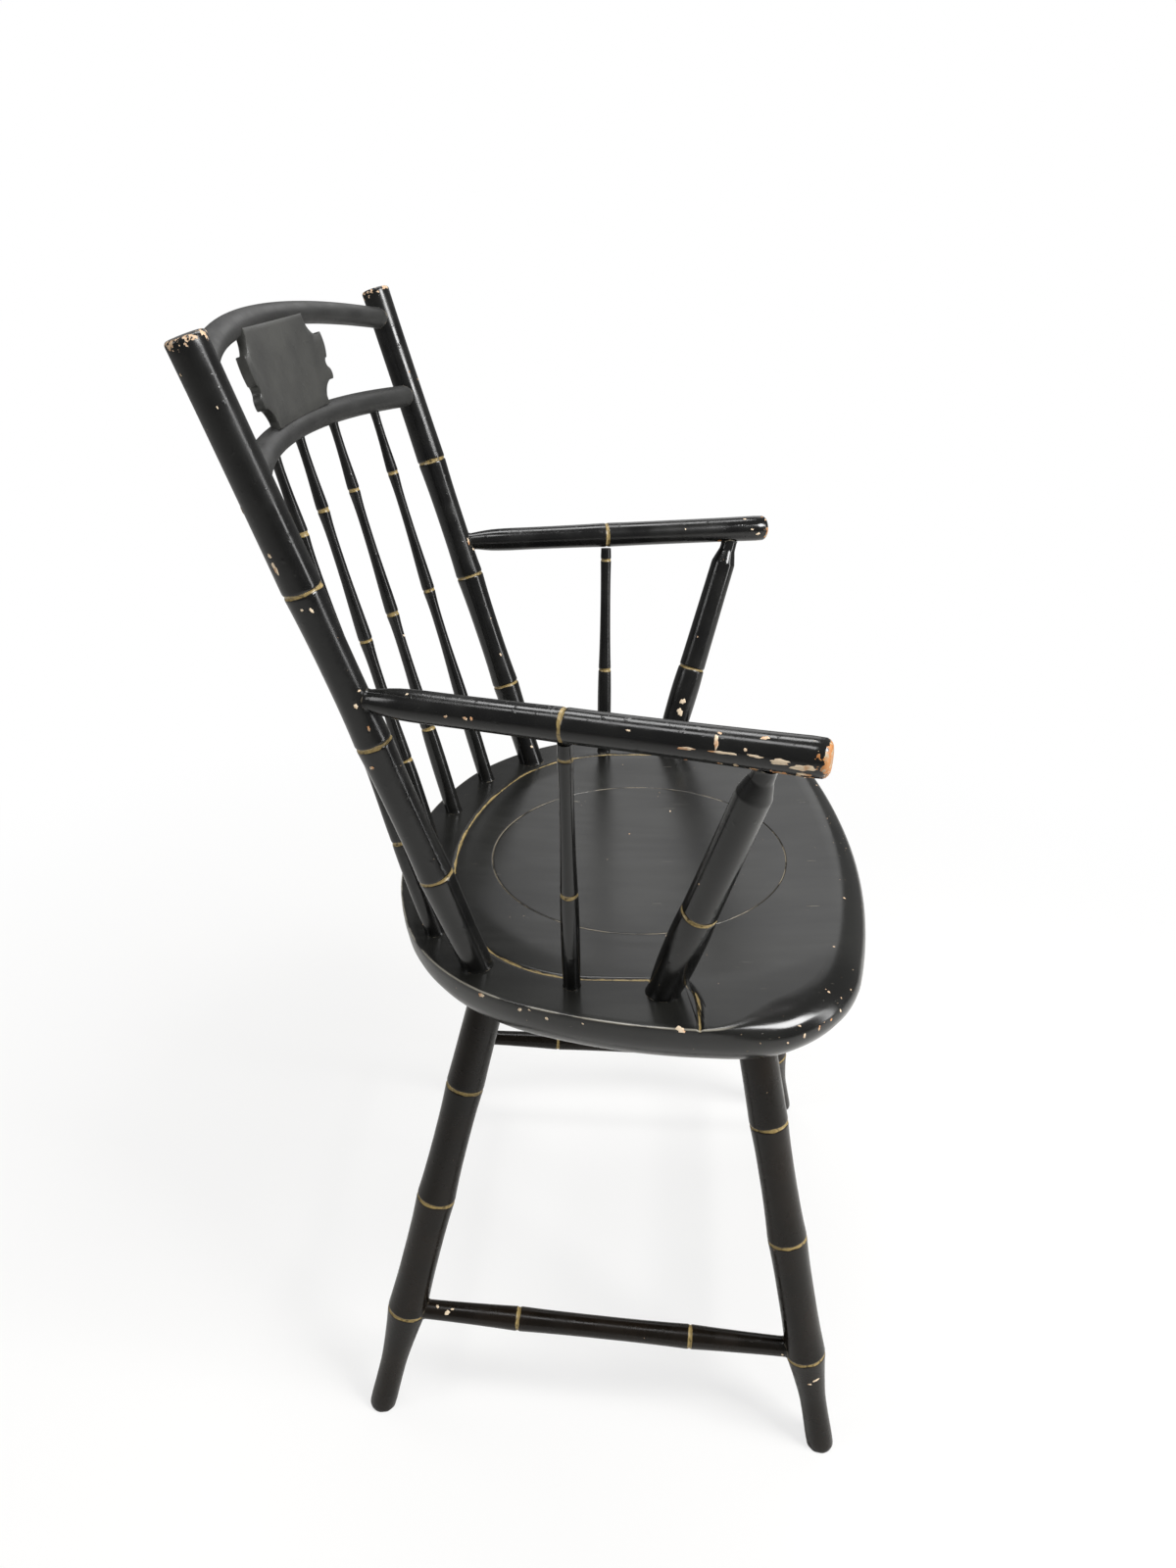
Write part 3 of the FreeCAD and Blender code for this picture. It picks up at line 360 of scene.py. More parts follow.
def chips(name, stick, spots, radii, seed):
    """Chips in the paint of a stick: lenses bent round it at their station and turn."""
    patches = []
    for number, ((station, degrees, length, width), radius) in enumerate(zip(spots, radii)):
        across, along, lift = lens(seed + 1.9 * number)
        turn = math.radians(degrees) + across * width / radius
        out = spokes(turn, stick.side, stick.front)
        middle = stick.foot + (station + along * length)[:, None] * stick.direction
        patches.append(middle + out * (radius + lift)[:, None])
    chip_piece(name, patches)


def seat_chips(*pieces):
    """Chips on the seat: each lies where a line that leans outwards over the spot meets the wood."""
    work = bmesh.new()
    for piece in pieces:
        work.from_mesh(piece.data)
    tree = BVHTree.FromBMesh(work)
    work.free()
    patches = []
    for number, (x, y, drop, length, width, lean) in enumerate(SEAT_CHIPS):
        outwards = unit(vec(x, y - PLUG_MIDDLE_Y, 0))
        aim = unit(vec(0, 0, 1) + lean * outwards)
        start = deck_spot(x, y) - vec(0, 0, drop) + 30 * aim
        place, normal = tree.ray_cast(Vector(start * MM), Vector(-aim))[:2]
        place, normal = np.array(place) / MM, np.array(normal)
        side = unit(np.cross(vec(0, 1, 0), normal))
        across, along, lift = lens(1.3 * number)
        patch = place + np.outer(across * width, side) + np.outer(along * length, np.cross(normal, side))
        patches.append(patch + np.outer(lift, normal))
    chip_piece("seat_plank_chips", patches)


def above_deck(points):
    """Height of points over the deck's plane."""
    return points[..., 2] - deck_height(points[..., 1])


def off_stick(stick, radius):
    """Gives the distance of points from the round surface of another stick: gap to its line less radius."""
    def distance(points):
        offset = points - stick.foot
        along = offset @ stick.direction
        return np.linalg.norm(offset - along[..., None] * stick.direction, axis=-1) - radius
    return distance


def below_underside(points):
    """Height of points over the plank's underside."""
    return above_deck(points) + SEAT_THICKNESS


def post_line(side):
    """Line of a back post, from the deck to its head."""
    top = vec(side * POST_TOP[0], POST_TOP[1], POST_TOP[2])
    return Stick(deck_spot(side * POST_FOOT[0], POST_FOOT[1]), top)


def arm_line(side):
    """Line of an arm, from the middle of its post to its front end."""
    post = post_line(side)
    back = post.at(post.at_height(ARM_BACK_HEIGHT))
    return Stick(back, vec(side * ARM_FRONT[0], ARM_FRONT[1], ARM_FRONT[2]))


def leg_line(which, side):
    """Line of a leg, from its foot on the floor to the plank's underside."""
    leg = LEGS[which]
    foot = vec(side * leg["foot"][0], leg["foot"][1], 0.0)
    top = deck_spot(side * leg["top"][0], leg["top"][1]) - vec(0, 0, SEAT_THICKNESS)
    return Stick(foot, top)


class Bow:
    """The centre line of a bent rod: an arc between the posts, tipped back and up."""

    def __init__(self, height, bow, rise):
        post = post_line(LEFT)
        self.end = post.at(post.at_height(height))
        self.lift = math.hypot(bow, rise)
        self.bow = bow
        self.rise = rise
        self.arc_radius = (self.end[0] ** 2 + self.lift ** 2) / (2 * self.lift)

    def at(self, x):
        """Points of the arc: its height over the chord, as a share of the whole, moves them back and up."""
        drop = self.arc_radius - np.sqrt(self.arc_radius ** 2 - x * x)
        share = 1 - drop / self.lift
        return np.stack([x, self.end[1] + self.bow * share, self.end[2] + self.rise * share], axis=-1)


crest_line = Bow(CREST_HEIGHT, CREST_BOW, CREST_RISE)
lower_line = Bow(LOWER_HEIGHT, LOWER_BOW, LOWER_RISE)


def bent_rod(name, bow, radius, node, material, seed):
    """A round rod swept along the bow's arc: point = arc(x) + radius (cos a n + sin a b)."""
    columns = 40
    reach = bow.end[0] - 4.0
    x = reach * np.sin(np.linspace(-math.pi / 2, math.pi / 2, 130))
    centre = bow.at(x)
    along = np.gradient(centre, axis=0)
    along /= np.linalg.norm(along, axis=1)[:, None]
    flat = unit(np.cross(vec(1, 0, 0), vec(0, bow.bow, bow.rise)))
    other = np.cross(along, flat)
    s = np.concatenate([[0], np.cumsum(np.linalg.norm(np.diff(centre, axis=0), axis=1))])
    sweep, a = np.meshgrid(s, turn_angles(columns), indexing="ij")
    wobble = 0.5 + 0.3 * np.sin(sweep / 43.0 + seed) + 0.2 * np.sin(3 * a + sweep / 29.0)
    r = radius - ROD_WOBBLE * wobble
    across = spokes(a, other[:, None, :], flat)
    points = centre[:, None, :] + across * r[..., None]
    bead = np.zeros_like(sweep)
    for side in (RIGHT, LEFT):
        gap = off_stick(post_line(side), POST_RADIUS_AT_RODS)(points)
        bead = np.maximum(bead, bell(gap, BEAD_WIDTH))
    points += across * (BEAD_HEIGHT * bead)[..., None]
    grain = np.stack([r * np.cos(a), r * np.sin(a), sweep + SEED_STEP * seed], axis=-1)
    points = np.concatenate([points.reshape(-1, 3), [centre[0], centre[-1]]])
    grain = np.concatenate([grain.reshape(-1, 3), [(0, 0, 0), (0, 0, s[-1])]])
    count = len(points)
    attributes = {
        "grain": grain,
        "ring": np.full(count, FAR),
        "bead": np.concatenate([bead.ravel(), [0, 0]]),
        "wear": np.zeros(count),
        "bare": np.zeros(count),
    }
    make_piece(name, points, tube_faces(len(x), columns), attributes, material, [node])


# Tablet

TABLET_THICKNESS = 7.0
TABLET_FORWARD = 4.5
TABLET_TOP_HALF = 66.0
TABLET_LOBE_HALF = 87.0
TABLET_FOOT_HALF = 62.0
TABLET_NOTCH = 6.0


def arc_points(start, end, bulge, count=14):
    """Points of the circular arc from start to end whose middle stands bulge to the right of its chord."""
    start, end = np.array(start), np.array(end)
    chord = end - start
    t = np.linspace(0, 1, count, endpoint=False)[:, None]
    if abs(bulge) < 1e-6:
        return start + chord * t
    span = np.linalg.norm(chord)
    right = np.array([chord[1], -chord[0]]) / span
    radius = (span * span / 4 + bulge * bulge) / (2 * abs(bulge))
    half = math.asin(min(1.0, span / 2 / radius))
    turn = (2 * t - 1) * half
    rise = (np.cos(turn) - math.cos(half)) * radius * math.copysign(1.0, bulge)
    return (start + end) / 2 + chord / span * radius * np.sin(turn) + right * rise


def tablet_outline(height):
    """Half-outline of the board from its foot up: scoop, lobe, notch, lobe, bite; then its mirror image."""
    foot, head = LOWER_RADIUS - 4.0, height - CREST_RADIUS + 4.0
    widest, notch = TABLET_LOBE_HALF, TABLET_NOTCH
    corners = [
        ((TABLET_FOOT_HALF, foot), (TABLET_FOOT_HALF, 0.14 * height), 0.0),
        ((TABLET_FOOT_HALF, 0.14 * height), (widest - 4, 0.27 * height), -0.6 * notch),
        ((widest - 4, 0.27 * height), (widest - 5, 0.39 * height), 0.4 * notch),
        ((widest - 5, 0.39 * height), (widest - 3, 0.48 * height), -0.55 * notch),
        ((widest - 3, 0.48 * height), (widest, 0.73 * height), 0.4 * notch),
        ((widest, 0.73 * height), (TABLET_TOP_HALF, 0.87 * height), -0.9 * notch),
        ((TABLET_TOP_HALF, 0.87 * height), (TABLET_TOP_HALF, head), 0.0),
    ]
    half = np.concatenate([arc_points(*corner) for corner in corners] + [[(TABLET_TOP_HALF, head)]])
    top = np.stack([np.linspace(TABLET_TOP_HALF, -TABLET_TOP_HALF, 30)[1:-1], np.full(28, head)], 1)
    mirrored = half[::-1] * np.array([-1, 1])
    foot_run = np.stack(
        [np.linspace(-TABLET_FOOT_HALF, TABLET_FOOT_HALF, 30)[1:-1], np.full(28, foot)], 1
    )
    return np.concatenate([half, top, mirrored, foot_run])


def shrink(outline, amount):
    """The outline moved inwards along its normals."""
    before, after = np.roll(outline, 1, axis=0), np.roll(outline, -1, axis=0)
    along = after - before
    along /= np.linalg.norm(along, axis=1)[:, None] + 1e-9
    return outline - np.stack([along[:, 1], -along[:, 0]], axis=1) * amount


def within(points, outline):
    """Even-odd rule: which of the points lie inside the closed outline."""
    x, y = points[:, :1], points[:, 1:]
    first_x, first_y = outline[:, 0], outline[:, 1]
    next_x, next_y = np.roll(first_x, -1), np.roll(first_y, -1)
    spans = (first_y > y) != (next_y > y)
    rise = np.where(np.abs(next_y - first_y) < 1e-9, 1e-9, next_y - first_y)
    crossing = first_x + (next_x - first_x) * (y - first_y) / rise
    return (spans & (x < crossing)).sum(axis=1) % 2 == 1


def tablet(material):
    """A thin board bent about an upright axis: its outline is laid on the arc of the lower rod,
    and its front and back faces are joined by a rounded edge."""
    foot, head = lower_line.at(np.array([0.0]))[0], crest_line.at(np.array([0.0]))[0]
    up = unit(head - foot)
    back = np.cross(up, vec(1, 0, 0))
    back = unit(back if back[1] > 0 else -back)
    outline = tablet_outline(np.linalg.norm(head - foot))
    half = TABLET_THICKNESS / 2
    layers = [(0.9, -half), (0.25, -half + 0.3), (0.0, -half + 1.0), (0.0, half - 1.0),
              (0.25, half - 0.3), (0.9, half)]
    flat = [np.column_stack([shrink(outline, inset), np.full(len(outline), depth)])
            for inset, depth in layers]
    count = len(outline)
    x, y = np.meshgrid(np.arange(-84, 85, 7.0), np.arange(6, 74, 7.0))
    inside = np.column_stack([x.ravel(), y.ravel()])
    rim = shrink(outline, 0.9)
    inside = inside[within(inside, shrink(outline, 2.5))]
    made = delaunay_2d_cdt(np.concatenate([rim, inside]).tolist(), [], [list(range(count))], 1, 0.001, False)
    cap = np.array(made[0])
    triangles = np.array([face for face in made[2] if len(face) == 3])
    triangles = triangles[within(cap[triangles].mean(axis=1), rim)]
    front = np.column_stack([cap, np.full(len(cap), -half)])
    behind = np.column_stack([cap, np.full(len(cap), half)])
    local = np.concatenate([front, behind] + flat)
    band = 2 * len(cap) + np.arange(len(layers) - 1)[:, None] * count
    ring = np.arange(count)[None, :]
    beside = (ring + 1) % count
    sides = np.stack([band + ring, band + beside, band + count + beside, band + count + ring], -1)
    faces = [triangles, triangles[:, ::-1] + len(cap), sides.reshape(-1, 4)]
    reach = lower_line.arc_radius
    depth = local[:, 2] - TABLET_FORWARD
    sag = reach - np.sqrt(reach ** 2 - local[:, 0] ** 2)
    points = foot + np.outer(local[:, 0], vec(1, 0, 0)) + np.outer(local[:, 1], up)
    points += np.outer(depth - sag, back)
    values = np.zeros(len(local))
    grain = np.column_stack([local[:, 1], local[:, 2], local[:, 0]])
    attributes = {"grain": grain, "ring": values + FAR, "bead": values, "wear": values, "bare": values}
    weld(make_piece("tablet_board", points, faces, attributes, material, ["tablet"]))


def weld(piece):
    """Joins doubled points and turns every face outwards."""
    work = bmesh.new()
    work.from_mesh(piece.data)
    bmesh.ops.remove_doubles(work, verts=work.verts, dist=0.00001)
    bmesh.ops.recalc_face_normals(work, faces=work.faces)
    work.to_mesh(piece.data)
    work.free()


# Seat plank, worked out in its own level plane and then tipped back

def meeting_centre(first, first_reach, second, second_reach):
    """The point at given distances from two others, on their outer side."""
    apart = second - first
    span = np.linalg.norm(apart)
    along = (first_reach ** 2 - second_reach ** 2 + span ** 2) / (2 * span)
    across = math.sqrt(first_reach ** 2 - along ** 2)
    normal = np.array([apart[1], -apart[0]]) / span
    if normal.sum() < 0:
        normal = -normal
    return first + apart / span * along + normal * across


def arc_run(centre, radius, start, end, count=60):
    """Points of an arc between two directions given as angles."""
    angle = np.linspace(start, end, count)
    return centre + radius * np.stack([np.cos(angle), np.sin(angle)], axis=1)


def heading(vector):
    """Angle of a direction from +X."""
    return math.atan2(vector[1], vector[0])


def seat_outline():
    """The seat's edge from its back middle round the left side to its front middle: five tangent arcs."""
    back_y = SEAT_WIDEST_Y + SEAT_BACK_DEPTH
    front_y = SEAT_WIDEST_Y - SEAT_FRONT_DEPTH
    side = np.array([SEAT_HALF_WIDTH - SEAT_SIDE_RADIUS, SEAT_WIDEST_Y])
    back = np.array([0.0, back_y - SEAT_BACK_RADIUS])
    corner = meeting_centre(
        side, SEAT_SIDE_RADIUS - SEAT_CORNER_RADIUS, back, SEAT_BACK_RADIUS - SEAT_CORNER_RADIUS
    )
    front_corner = np.array([SEAT_HALF_WIDTH - SEAT_FRONT_CORNER, SEAT_WIDEST_Y])
    reach = front_corner[0] ** 2 + SEAT_FRONT_DEPTH ** 2 - SEAT_FRONT_CORNER ** 2
    front_radius = reach / (2 * (SEAT_FRONT_DEPTH - SEAT_FRONT_CORNER))
    front = np.array([0.0, front_y + front_radius])
    near_back, near_side = heading(corner - back), heading(corner - side)
    near_front = heading(front_corner - front)
    runs = [
        arc_run(back, SEAT_BACK_RADIUS, math.pi / 2, near_back),
        arc_run(corner, SEAT_CORNER_RADIUS, near_back, near_side),
        arc_run(side, SEAT_SIDE_RADIUS, near_side, 0.0),
        arc_run(front_corner, SEAT_FRONT_CORNER, 0.0, near_front),
        arc_run(front, front_radius, near_front, -math.pi / 2),
    ]
    return np.concatenate([run[:-1] for run in runs[:-1]] + [runs[-1]])


def gutter_distance(x, y):
    """Distance in the deck's plane to the gutter's line, the least over its arcs and straight runs."""
    x = np.abs(x)
    back_centre_y = GUTTER_BACK_Y - GUTTER_BACK_RADIUS
    corner_x = GUTTER_SIDE_X - GUTTER_CORNER_RADIUS
    apart = GUTTER_BACK_RADIUS - GUTTER_CORNER_RADIUS
    corner_y = back_centre_y + math.sqrt(apart ** 2 - corner_x ** 2)
    meet = math.atan2(corner_y - back_centre_y, corner_x)
    turn_x, turn_y = GUTTER_SIDE_X + GUTTER_TURN_RADIUS, GUTTER_FRONT_Y + GUTTER_TURN_RADIUS

    def arc(cx, cy, radius, low, high):
        angle = np.arctan2(y - cy, x - cx)
        gap = np.abs(np.hypot(x - cx, y - cy) - radius)
        return np.where((angle >= low) & (angle <= high), gap, 1e3)

    back = arc(0.0, back_centre_y, GUTTER_BACK_RADIUS, meet, math.pi)
    corner = arc(corner_x, corner_y, GUTTER_CORNER_RADIUS, 0.0, meet)
    side = np.where((y <= corner_y) & (y >= turn_y), np.abs(x - GUTTER_SIDE_X), 1e3)
    angle = np.arctan2(y - turn_y, x - turn_x)
    turning = (angle <= -math.pi / 2) & (angle >= -math.pi)
    bend = np.where(turning, np.abs(np.hypot(x - turn_x, y - turn_y) - GUTTER_TURN_RADIUS), 1e3)
    out = np.where(x >= turn_x, np.abs(y - GUTTER_FRONT_Y), 1e3)
    return np.minimum.reduce([back, corner, side, bend, out])


def seat_top(x, y):
    """Height of the deck: a shallow spherical dish, less the round score of the gutter."""
    radius = (DISH_HALF_WIDTH ** 2 + DISH_DEPTH ** 2) / (2 * DISH_DEPTH)
    away = x * x + (y - DISH_MIDDLE_Y) ** 2
    dish = radius - DISH_DEPTH - np.sqrt(radius ** 2 - away)
    dish = -0.5 * (-dish + np.sqrt(dish * dish + 0.25) - 0.25)
    return dish - GUTTER_DEPTH * bell(gutter_distance(x, y), GUTTER_WIDTH)


def to_chair(x, y, z):
    """From the seat's level plane to the chair: tipped back by the seat's fall."""
    lean = math.atan(SEAT_FALL)
    return np.stack(
        [x, y * math.cos(lean) + z * math.sin(lean),
         SEAT_HEIGHT - y * math.sin(lean) + z * math.cos(lean)], axis=-1
    )


def seat_directions():
    """Angles round the plug's middle, closer together where the gutter runs out to the edge."""
    even = np.linspace(-math.pi, math.pi, 420, endpoint=False)
    run_out = np.radians(np.arange(-16.0, -3.0, 0.22))
    angles = np.concatenate([even, run_out, -math.pi - run_out])
    angles = (angles + math.pi) % (2 * math.pi) - math.pi
    return np.unique(np.round(angles, 4))


def seat_edge(front):
    """Edge section from the deck down: (inset, level) pairs, blended from a crisp side to a rolled front."""
    side = np.array([(1.3, 0.0), (0.35, -0.25), (0.0, -1.0), (0.0, -5.0), (0.3, -10.0), (1.2, -16.0),
                     (3.6, -22.0), (7.4, -28.0), (12.6, -33.5), (18.6, -38.0), (21.0, -39.6),
                     (22.2, -40.0)])
    roll = np.array([(26.0, 0.0), (17.0, -0.9), (11.0, -2.6), (6.0, -5.4), (2.6, -9.2), (0.7, -13.6),
                     (0.3, -18.0), (1.6, -23.4), (5.0, -29.0), (10.4, -34.6), (15.6, -38.6),
                     (18.0, -40.0)])
    return side[:, None, :] * (1 - front)[None, :, None] + roll[:, None, :] * front[None, :, None]


def seat_edge_points(angle, middle):
    """Points of the outline in the given directions from a middle, and the level way outwards there."""
    half = seat_outline()
    outline = np.concatenate([half, (half * np.array([-1, 1]))[::-1][1:-1]])
    around = np.arctan2(*(outline - middle).T[::-1])
    order = np.argsort(around)
    reach = np.hypot(*(outline - middle).T)
    period = 2 * math.pi
    extended = np.concatenate([around[order] - period, around[order], around[order] + period])
    reach = np.interp(angle, extended, np.tile(reach[order], 3))
    edge = middle + reach[:, None] * np.stack([np.cos(angle), np.sin(angle)], axis=1)
    along = np.roll(edge, -1, axis=0) - np.roll(edge, 1, axis=0)
    along /= np.linalg.norm(along, axis=1)[:, None]
    return edge, np.stack([along[:, 1], -along[:, 0]], axis=1)


def seat_marks(x, y, z, top, front):
    """Values for the paint: way to the gutter and to the seam, the crisp arris of the sides and back that
    carries a painted highlight, and the wear of the rolled front. The first rows, up to top, are the deck."""
    seam = np.hypot(x, y - PLUG_MIDDLE_Y) - PLUG_RADIUS
    seam[top:] = FAR
    gutter = np.minimum(gutter_distance(x, y), FAR)
    gutter = np.where(z < -4.0, FAR, gutter)
    arris = np.zeros_like(z)
    arris[top - 1: top + 2] = (1 - front)[None, :] * np.array([0.7, 1.0, 0.7])[:, None]
    worn = np.zeros_like(z)
    worn[top: top + 9] = front[None, :] * 0.2
    return {
        "grain": np.stack([x, z, y], axis=-1).reshape(-1, 3),
        "ring": gutter.ravel(),
        "seam": seam.ravel(),
        "arris": arris.ravel(),
        "wear": worn.ravel(),
    }


def seat(material):
    """The plank as one closed surface: up the plug's hole, across the deck, over the edge and back
    underneath. Rows follow the hole, the gutter and the edge, so that the score is carried by real faces."""
    middle = np.array([0.0, PLUG_MIDDLE_Y])
    angle = seat_directions()
    edge, outwards = seat_edge_points(angle, middle)
    front = smooth(-98.0, -168.0, edge[:, 1])
    section = seat_edge(front)
    rolled = edge[None] - outwards[None] * section[..., :1]
    deck_rim = rolled[0]
    hole = PLUG_RADIUS + PLUG_GAP
    rim = middle + hole * np.stack([np.cos(angle), np.sin(angle)], axis=1)
    gutter_share = gutter_place(rim, deck_rim)
    shares = deck_rows(gutter_share, np.linalg.norm(deck_rim - rim, axis=1))
    deck = rim[None] + (deck_rim - rim)[None] * shares[..., None]
    deck_z = seat_top(deck[..., 0], deck[..., 1])
    deck_z[0] -= 0.5
    level = section[..., 1]
    share = 1 + level / SEAT_THICKNESS
    edge_z = level + seat_top(deck_rim[:, 0], deck_rim[:, 1]) * share
    score = GUTTER_DEPTH * bell(gutter_distance(rolled[..., 0], rolled[..., 1]), GUTTER_WIDTH)
    edge_z = edge_z + score * share * (1 - np.exp(level / 2.0))
    under_share = np.array([0.12, 0.4, 0.7, 0.99, 1.0])[:, None, None]
    under = rolled[-1] + (rim - rolled[-1])[None] * under_share
    under_z = np.full(under.shape[:2], -SEAT_THICKNESS)
    under_z[-1] += 0.5
    wall = np.repeat(rim[None], 3, axis=0)
    rise = np.array([0.3, 0.6, 0.9])[:, None]
    wall_z = -SEAT_THICKNESS + (deck_z[0] + SEAT_THICKNESS) * rise
    flat = np.concatenate([deck, rolled[1:], under, wall])
    z = np.concatenate([deck_z, edge_z[1:], under_z, wall_z])
    x, y = flat[..., 0], flat[..., 1]
    points = to_chair(x, y, z)
    faces = torus_faces(*z.shape)
    marks = seat_marks(x, y, z, len(deck), front)
    piece = make_piece("seat_plank", points.reshape(-1, 3), faces, marks, material, ["seat"])
    weld(piece)
    return piece


def gutter_place(rim, deck_rim):
    """Share of the way from the plug's hole to the deck's rim at which each direction meets the gutter."""
    trial = np.linspace(0.02, 0.985, 400)[:, None]
    path = rim[None] + (deck_rim - rim)[None] * trial[..., None]
    gap = gutter_distance(path[..., 0], path[..., 1])
    best = trial[np.argmin(gap, axis=0), 0]
    missed = gap.min(axis=0) > GUTTER_WIDTH
    return np.where(missed, 0.8, best)


def deck_rows(place, width):
    """Row shares for each direction: even steps, and close ones on both sides of the gutter."""
    near = np.array([-4.0, -3.0, -2.2, -1.6, -1.0, -0.5, 0.0, 0.5, 1.0, 1.6, 2.2, 3.0, 4.0])
    low = np.maximum(place - 4.0 / width, 0.02)
    high = np.minimum(place + 4.0 / width, 0.98)
    hole = np.array([0.0, 0.4, 1.0])[:, None] / width
    inner = hole[-1] + (low - hole[-1]) * np.linspace(0.08, 0.96, 16)[:, None]
    close = low + (high - low) * ((near[:, None] + 4.0) / 8.0)
    outer = high + (1 - high) * np.linspace(0.12, 1.0, 10)[:, None]
    return np.concatenate([hole, inner, close, outer])


def plug(material):
    """The disc in the seat: rings from its middle out, a slightly eased rim, its wall and its flat foot."""
    eased = PLUG_RADIUS - np.array([0.8, 0.3, 0.0])
    reach = np.concatenate([np.linspace(2.0, PLUG_RADIUS - 2.0, PLUG_RINGS), eased])
    drop = np.concatenate([np.zeros(PLUG_RINGS), [0.0, 0.12, 0.5]])
    r, a = np.meshgrid(reach, turn_angles(PLUG_COLUMNS), indexing="ij")
    x, y = r * np.cos(a), PLUG_MIDDLE_Y + r * np.sin(a)
    z = seat_top(x, y) - drop[:, None]
    wall = np.array([0.4, 0.8])[:, None]
    low_z = z[-1] + (-SEAT_THICKNESS - z[-1]) * wall
    foot_reach = np.array([1.0, 0.5])[:, None]
    foot_x, foot_y = foot_reach * x[-1], PLUG_MIDDLE_Y + foot_reach * (y[-1] - PLUG_MIDDLE_Y)
    x = np.concatenate([x, np.repeat(x[-1:], 2, axis=0), foot_x])
    y = np.concatenate([y, np.repeat(y[-1:], 2, axis=0), foot_y])
    z = np.concatenate([z, low_z, np.full(foot_x.shape, -SEAT_THICKNESS)])
    faces = tube_faces(len(z), PLUG_COLUMNS)
    seam = np.hypot(x, y - PLUG_MIDDLE_Y) - PLUG_RADIUS
    x = np.append(x.ravel(), [0, 0])
    y = np.append(y.ravel(), [PLUG_MIDDLE_Y, PLUG_MIDDLE_Y])
    z = np.append(z.ravel(), [seat_top(np.zeros(1), np.full(1, PLUG_MIDDLE_Y))[0], -SEAT_THICKNESS])
    seam = np.append(seam.ravel(), [-PLUG_RADIUS, -PLUG_RADIUS])
    values = np.zeros(len(x))
    attributes = {
        "grain": np.stack([x, z, y], axis=-1),
        "ring": values + FAR,
        "seam": seam,
        "arris": values,
        "wear": values,
    }
    piece = make_piece("seat_disc", to_chair(x, y, z), faces, attributes, material, ["seat_plug"])
    weld(piece)
    return piece


# Finishes

# Settings that many nodes share: a smooth ramp, a product, the larger of two, and a blend of colours
SMOOTH = {"interpolation_type": "SMOOTHSTEP"}
TIMES, MOST = {"operation": "MULTIPLY"}, {"operation": "MAXIMUM"}
TINT = {"data_type": "RGBA", "out": 2}


def linear(code):
    """Linear colour of an sRGB hex code."""
    parts = [int(code[index:index + 2], 16) / 255 for index in (1, 3, 5)]
    return tuple(p / 12.92 if p <= 0.04045 else ((p + 0.055) / 1.055) ** 2.4 for p in parts) + (1.0,)


class Recipe:
    """The node tree of a paint, of the floor's paper or of the sky."""

    def __init__(self, owner):
        owner.use_nodes = True
        self.owner = owner
        self.tree = owner.node_tree
        self.tree.nodes.clear()

    def add(self, kind, *values, out=0, **settings):
        """Adds a node and gives one output of it, or the node itself for out=None. Values and links go
        to its inputs in order, or by name from a dictionary, and a hex code becomes a linear colour."""
        node = self.tree.nodes.new("ShaderNode" + kind)
        for key, value in settings.items():
            setattr(node, key, value)
        inputs = values[0] if values and isinstance(values[0], dict) else dict(enumerate(values))
        for key, value in inputs.items():
            if isinstance(value, bpy.types.NodeSocket):
                self.tree.links.new(value, node.inputs[key])
            else:
                node.inputs[key].default_value = linear(value) if isinstance(value, str) else value
        return node if out is None else node.outputs[out]

    def mottle(self, place, cells, detail=2.0, stretch=(1, 1, 1)):
        """Soft patches, so many of them in 100 mm; a stretch under 1 draws them out along the grain."""
        moved = self.add("Mapping", {"Vector": place, "Scale": stretch})
        return self.add("TexNoise", {"Vector": moved, "Scale": cells / 100.0, "Detail": detail}, out="Fac")

    def more(self, total, share, amount):
        """total + amount x share."""
        return self.add("Math", total, self.add("Math", share, amount, **TIMES), operation="ADD")

    def finish(self, colour, roughness, normal, specular):
        """Ends a paint's recipe with its colour, roughness and relief on one shader."""
        shader = self.add("BsdfPrincipled", {
            "Base Color": colour, "Roughness": roughness, "Normal": normal, "Specular IOR Level": specular,
        })
        self.add("OutputMaterial", {"Surface": shader}, out=None)
        return self.owner


def stripe_and_chips(recipe, place, ring, wear, paint, stripe_width):
    """Ochre stripe painted in a score, and chips of the paint down to cream ground and bare wood."""
    add, mottle = recipe.add, recipe.mottle
    # the brush wavers every 14 mm, and the stripe is rubbed thin in patches 3 mm wide
    waver = add("MapRange", mottle(place, 7), 0.3, 0.7, -0.45, 0.45, **SMOOTH)
    gap = add("Math", ring, waver, operation="ADD")
    stripe = add("MapRange", gap, stripe_width + 0.3, stripe_width - 0.3, **SMOOTH)
    patchy = add("MapRange", mottle(place, 30, 4.0), 0.3, 0.48, 0.25, 1.0, **SMOOTH)
    stripe = add("Math", stripe, patchy, **TIMES)
    ochre = add("Mix", {0: mottle(place, 50, 3.0), 6: "#6e5c3a", 7: "#a8935f"}, **TINT)
    colour = add("Mix", {0: stripe, 6: paint, 7: ochre}, **TINT)
    # chips about 1 mm wide: the tops of patches 3.5 mm wide
    raised = recipe.more(mottle(place, 28, 5.0), wear, 0.25)
    chipped = add("MapRange", raised, 0.755, 0.775, **SMOOTH)
    ground = add("Mix", {0: mottle(place, 40), 6: "#a87548", 7: "#dccbb0"}, **TINT)
    return add("Mix", {0: chipped, 6: colour, 7: ground}, **TINT), chipped, stripe


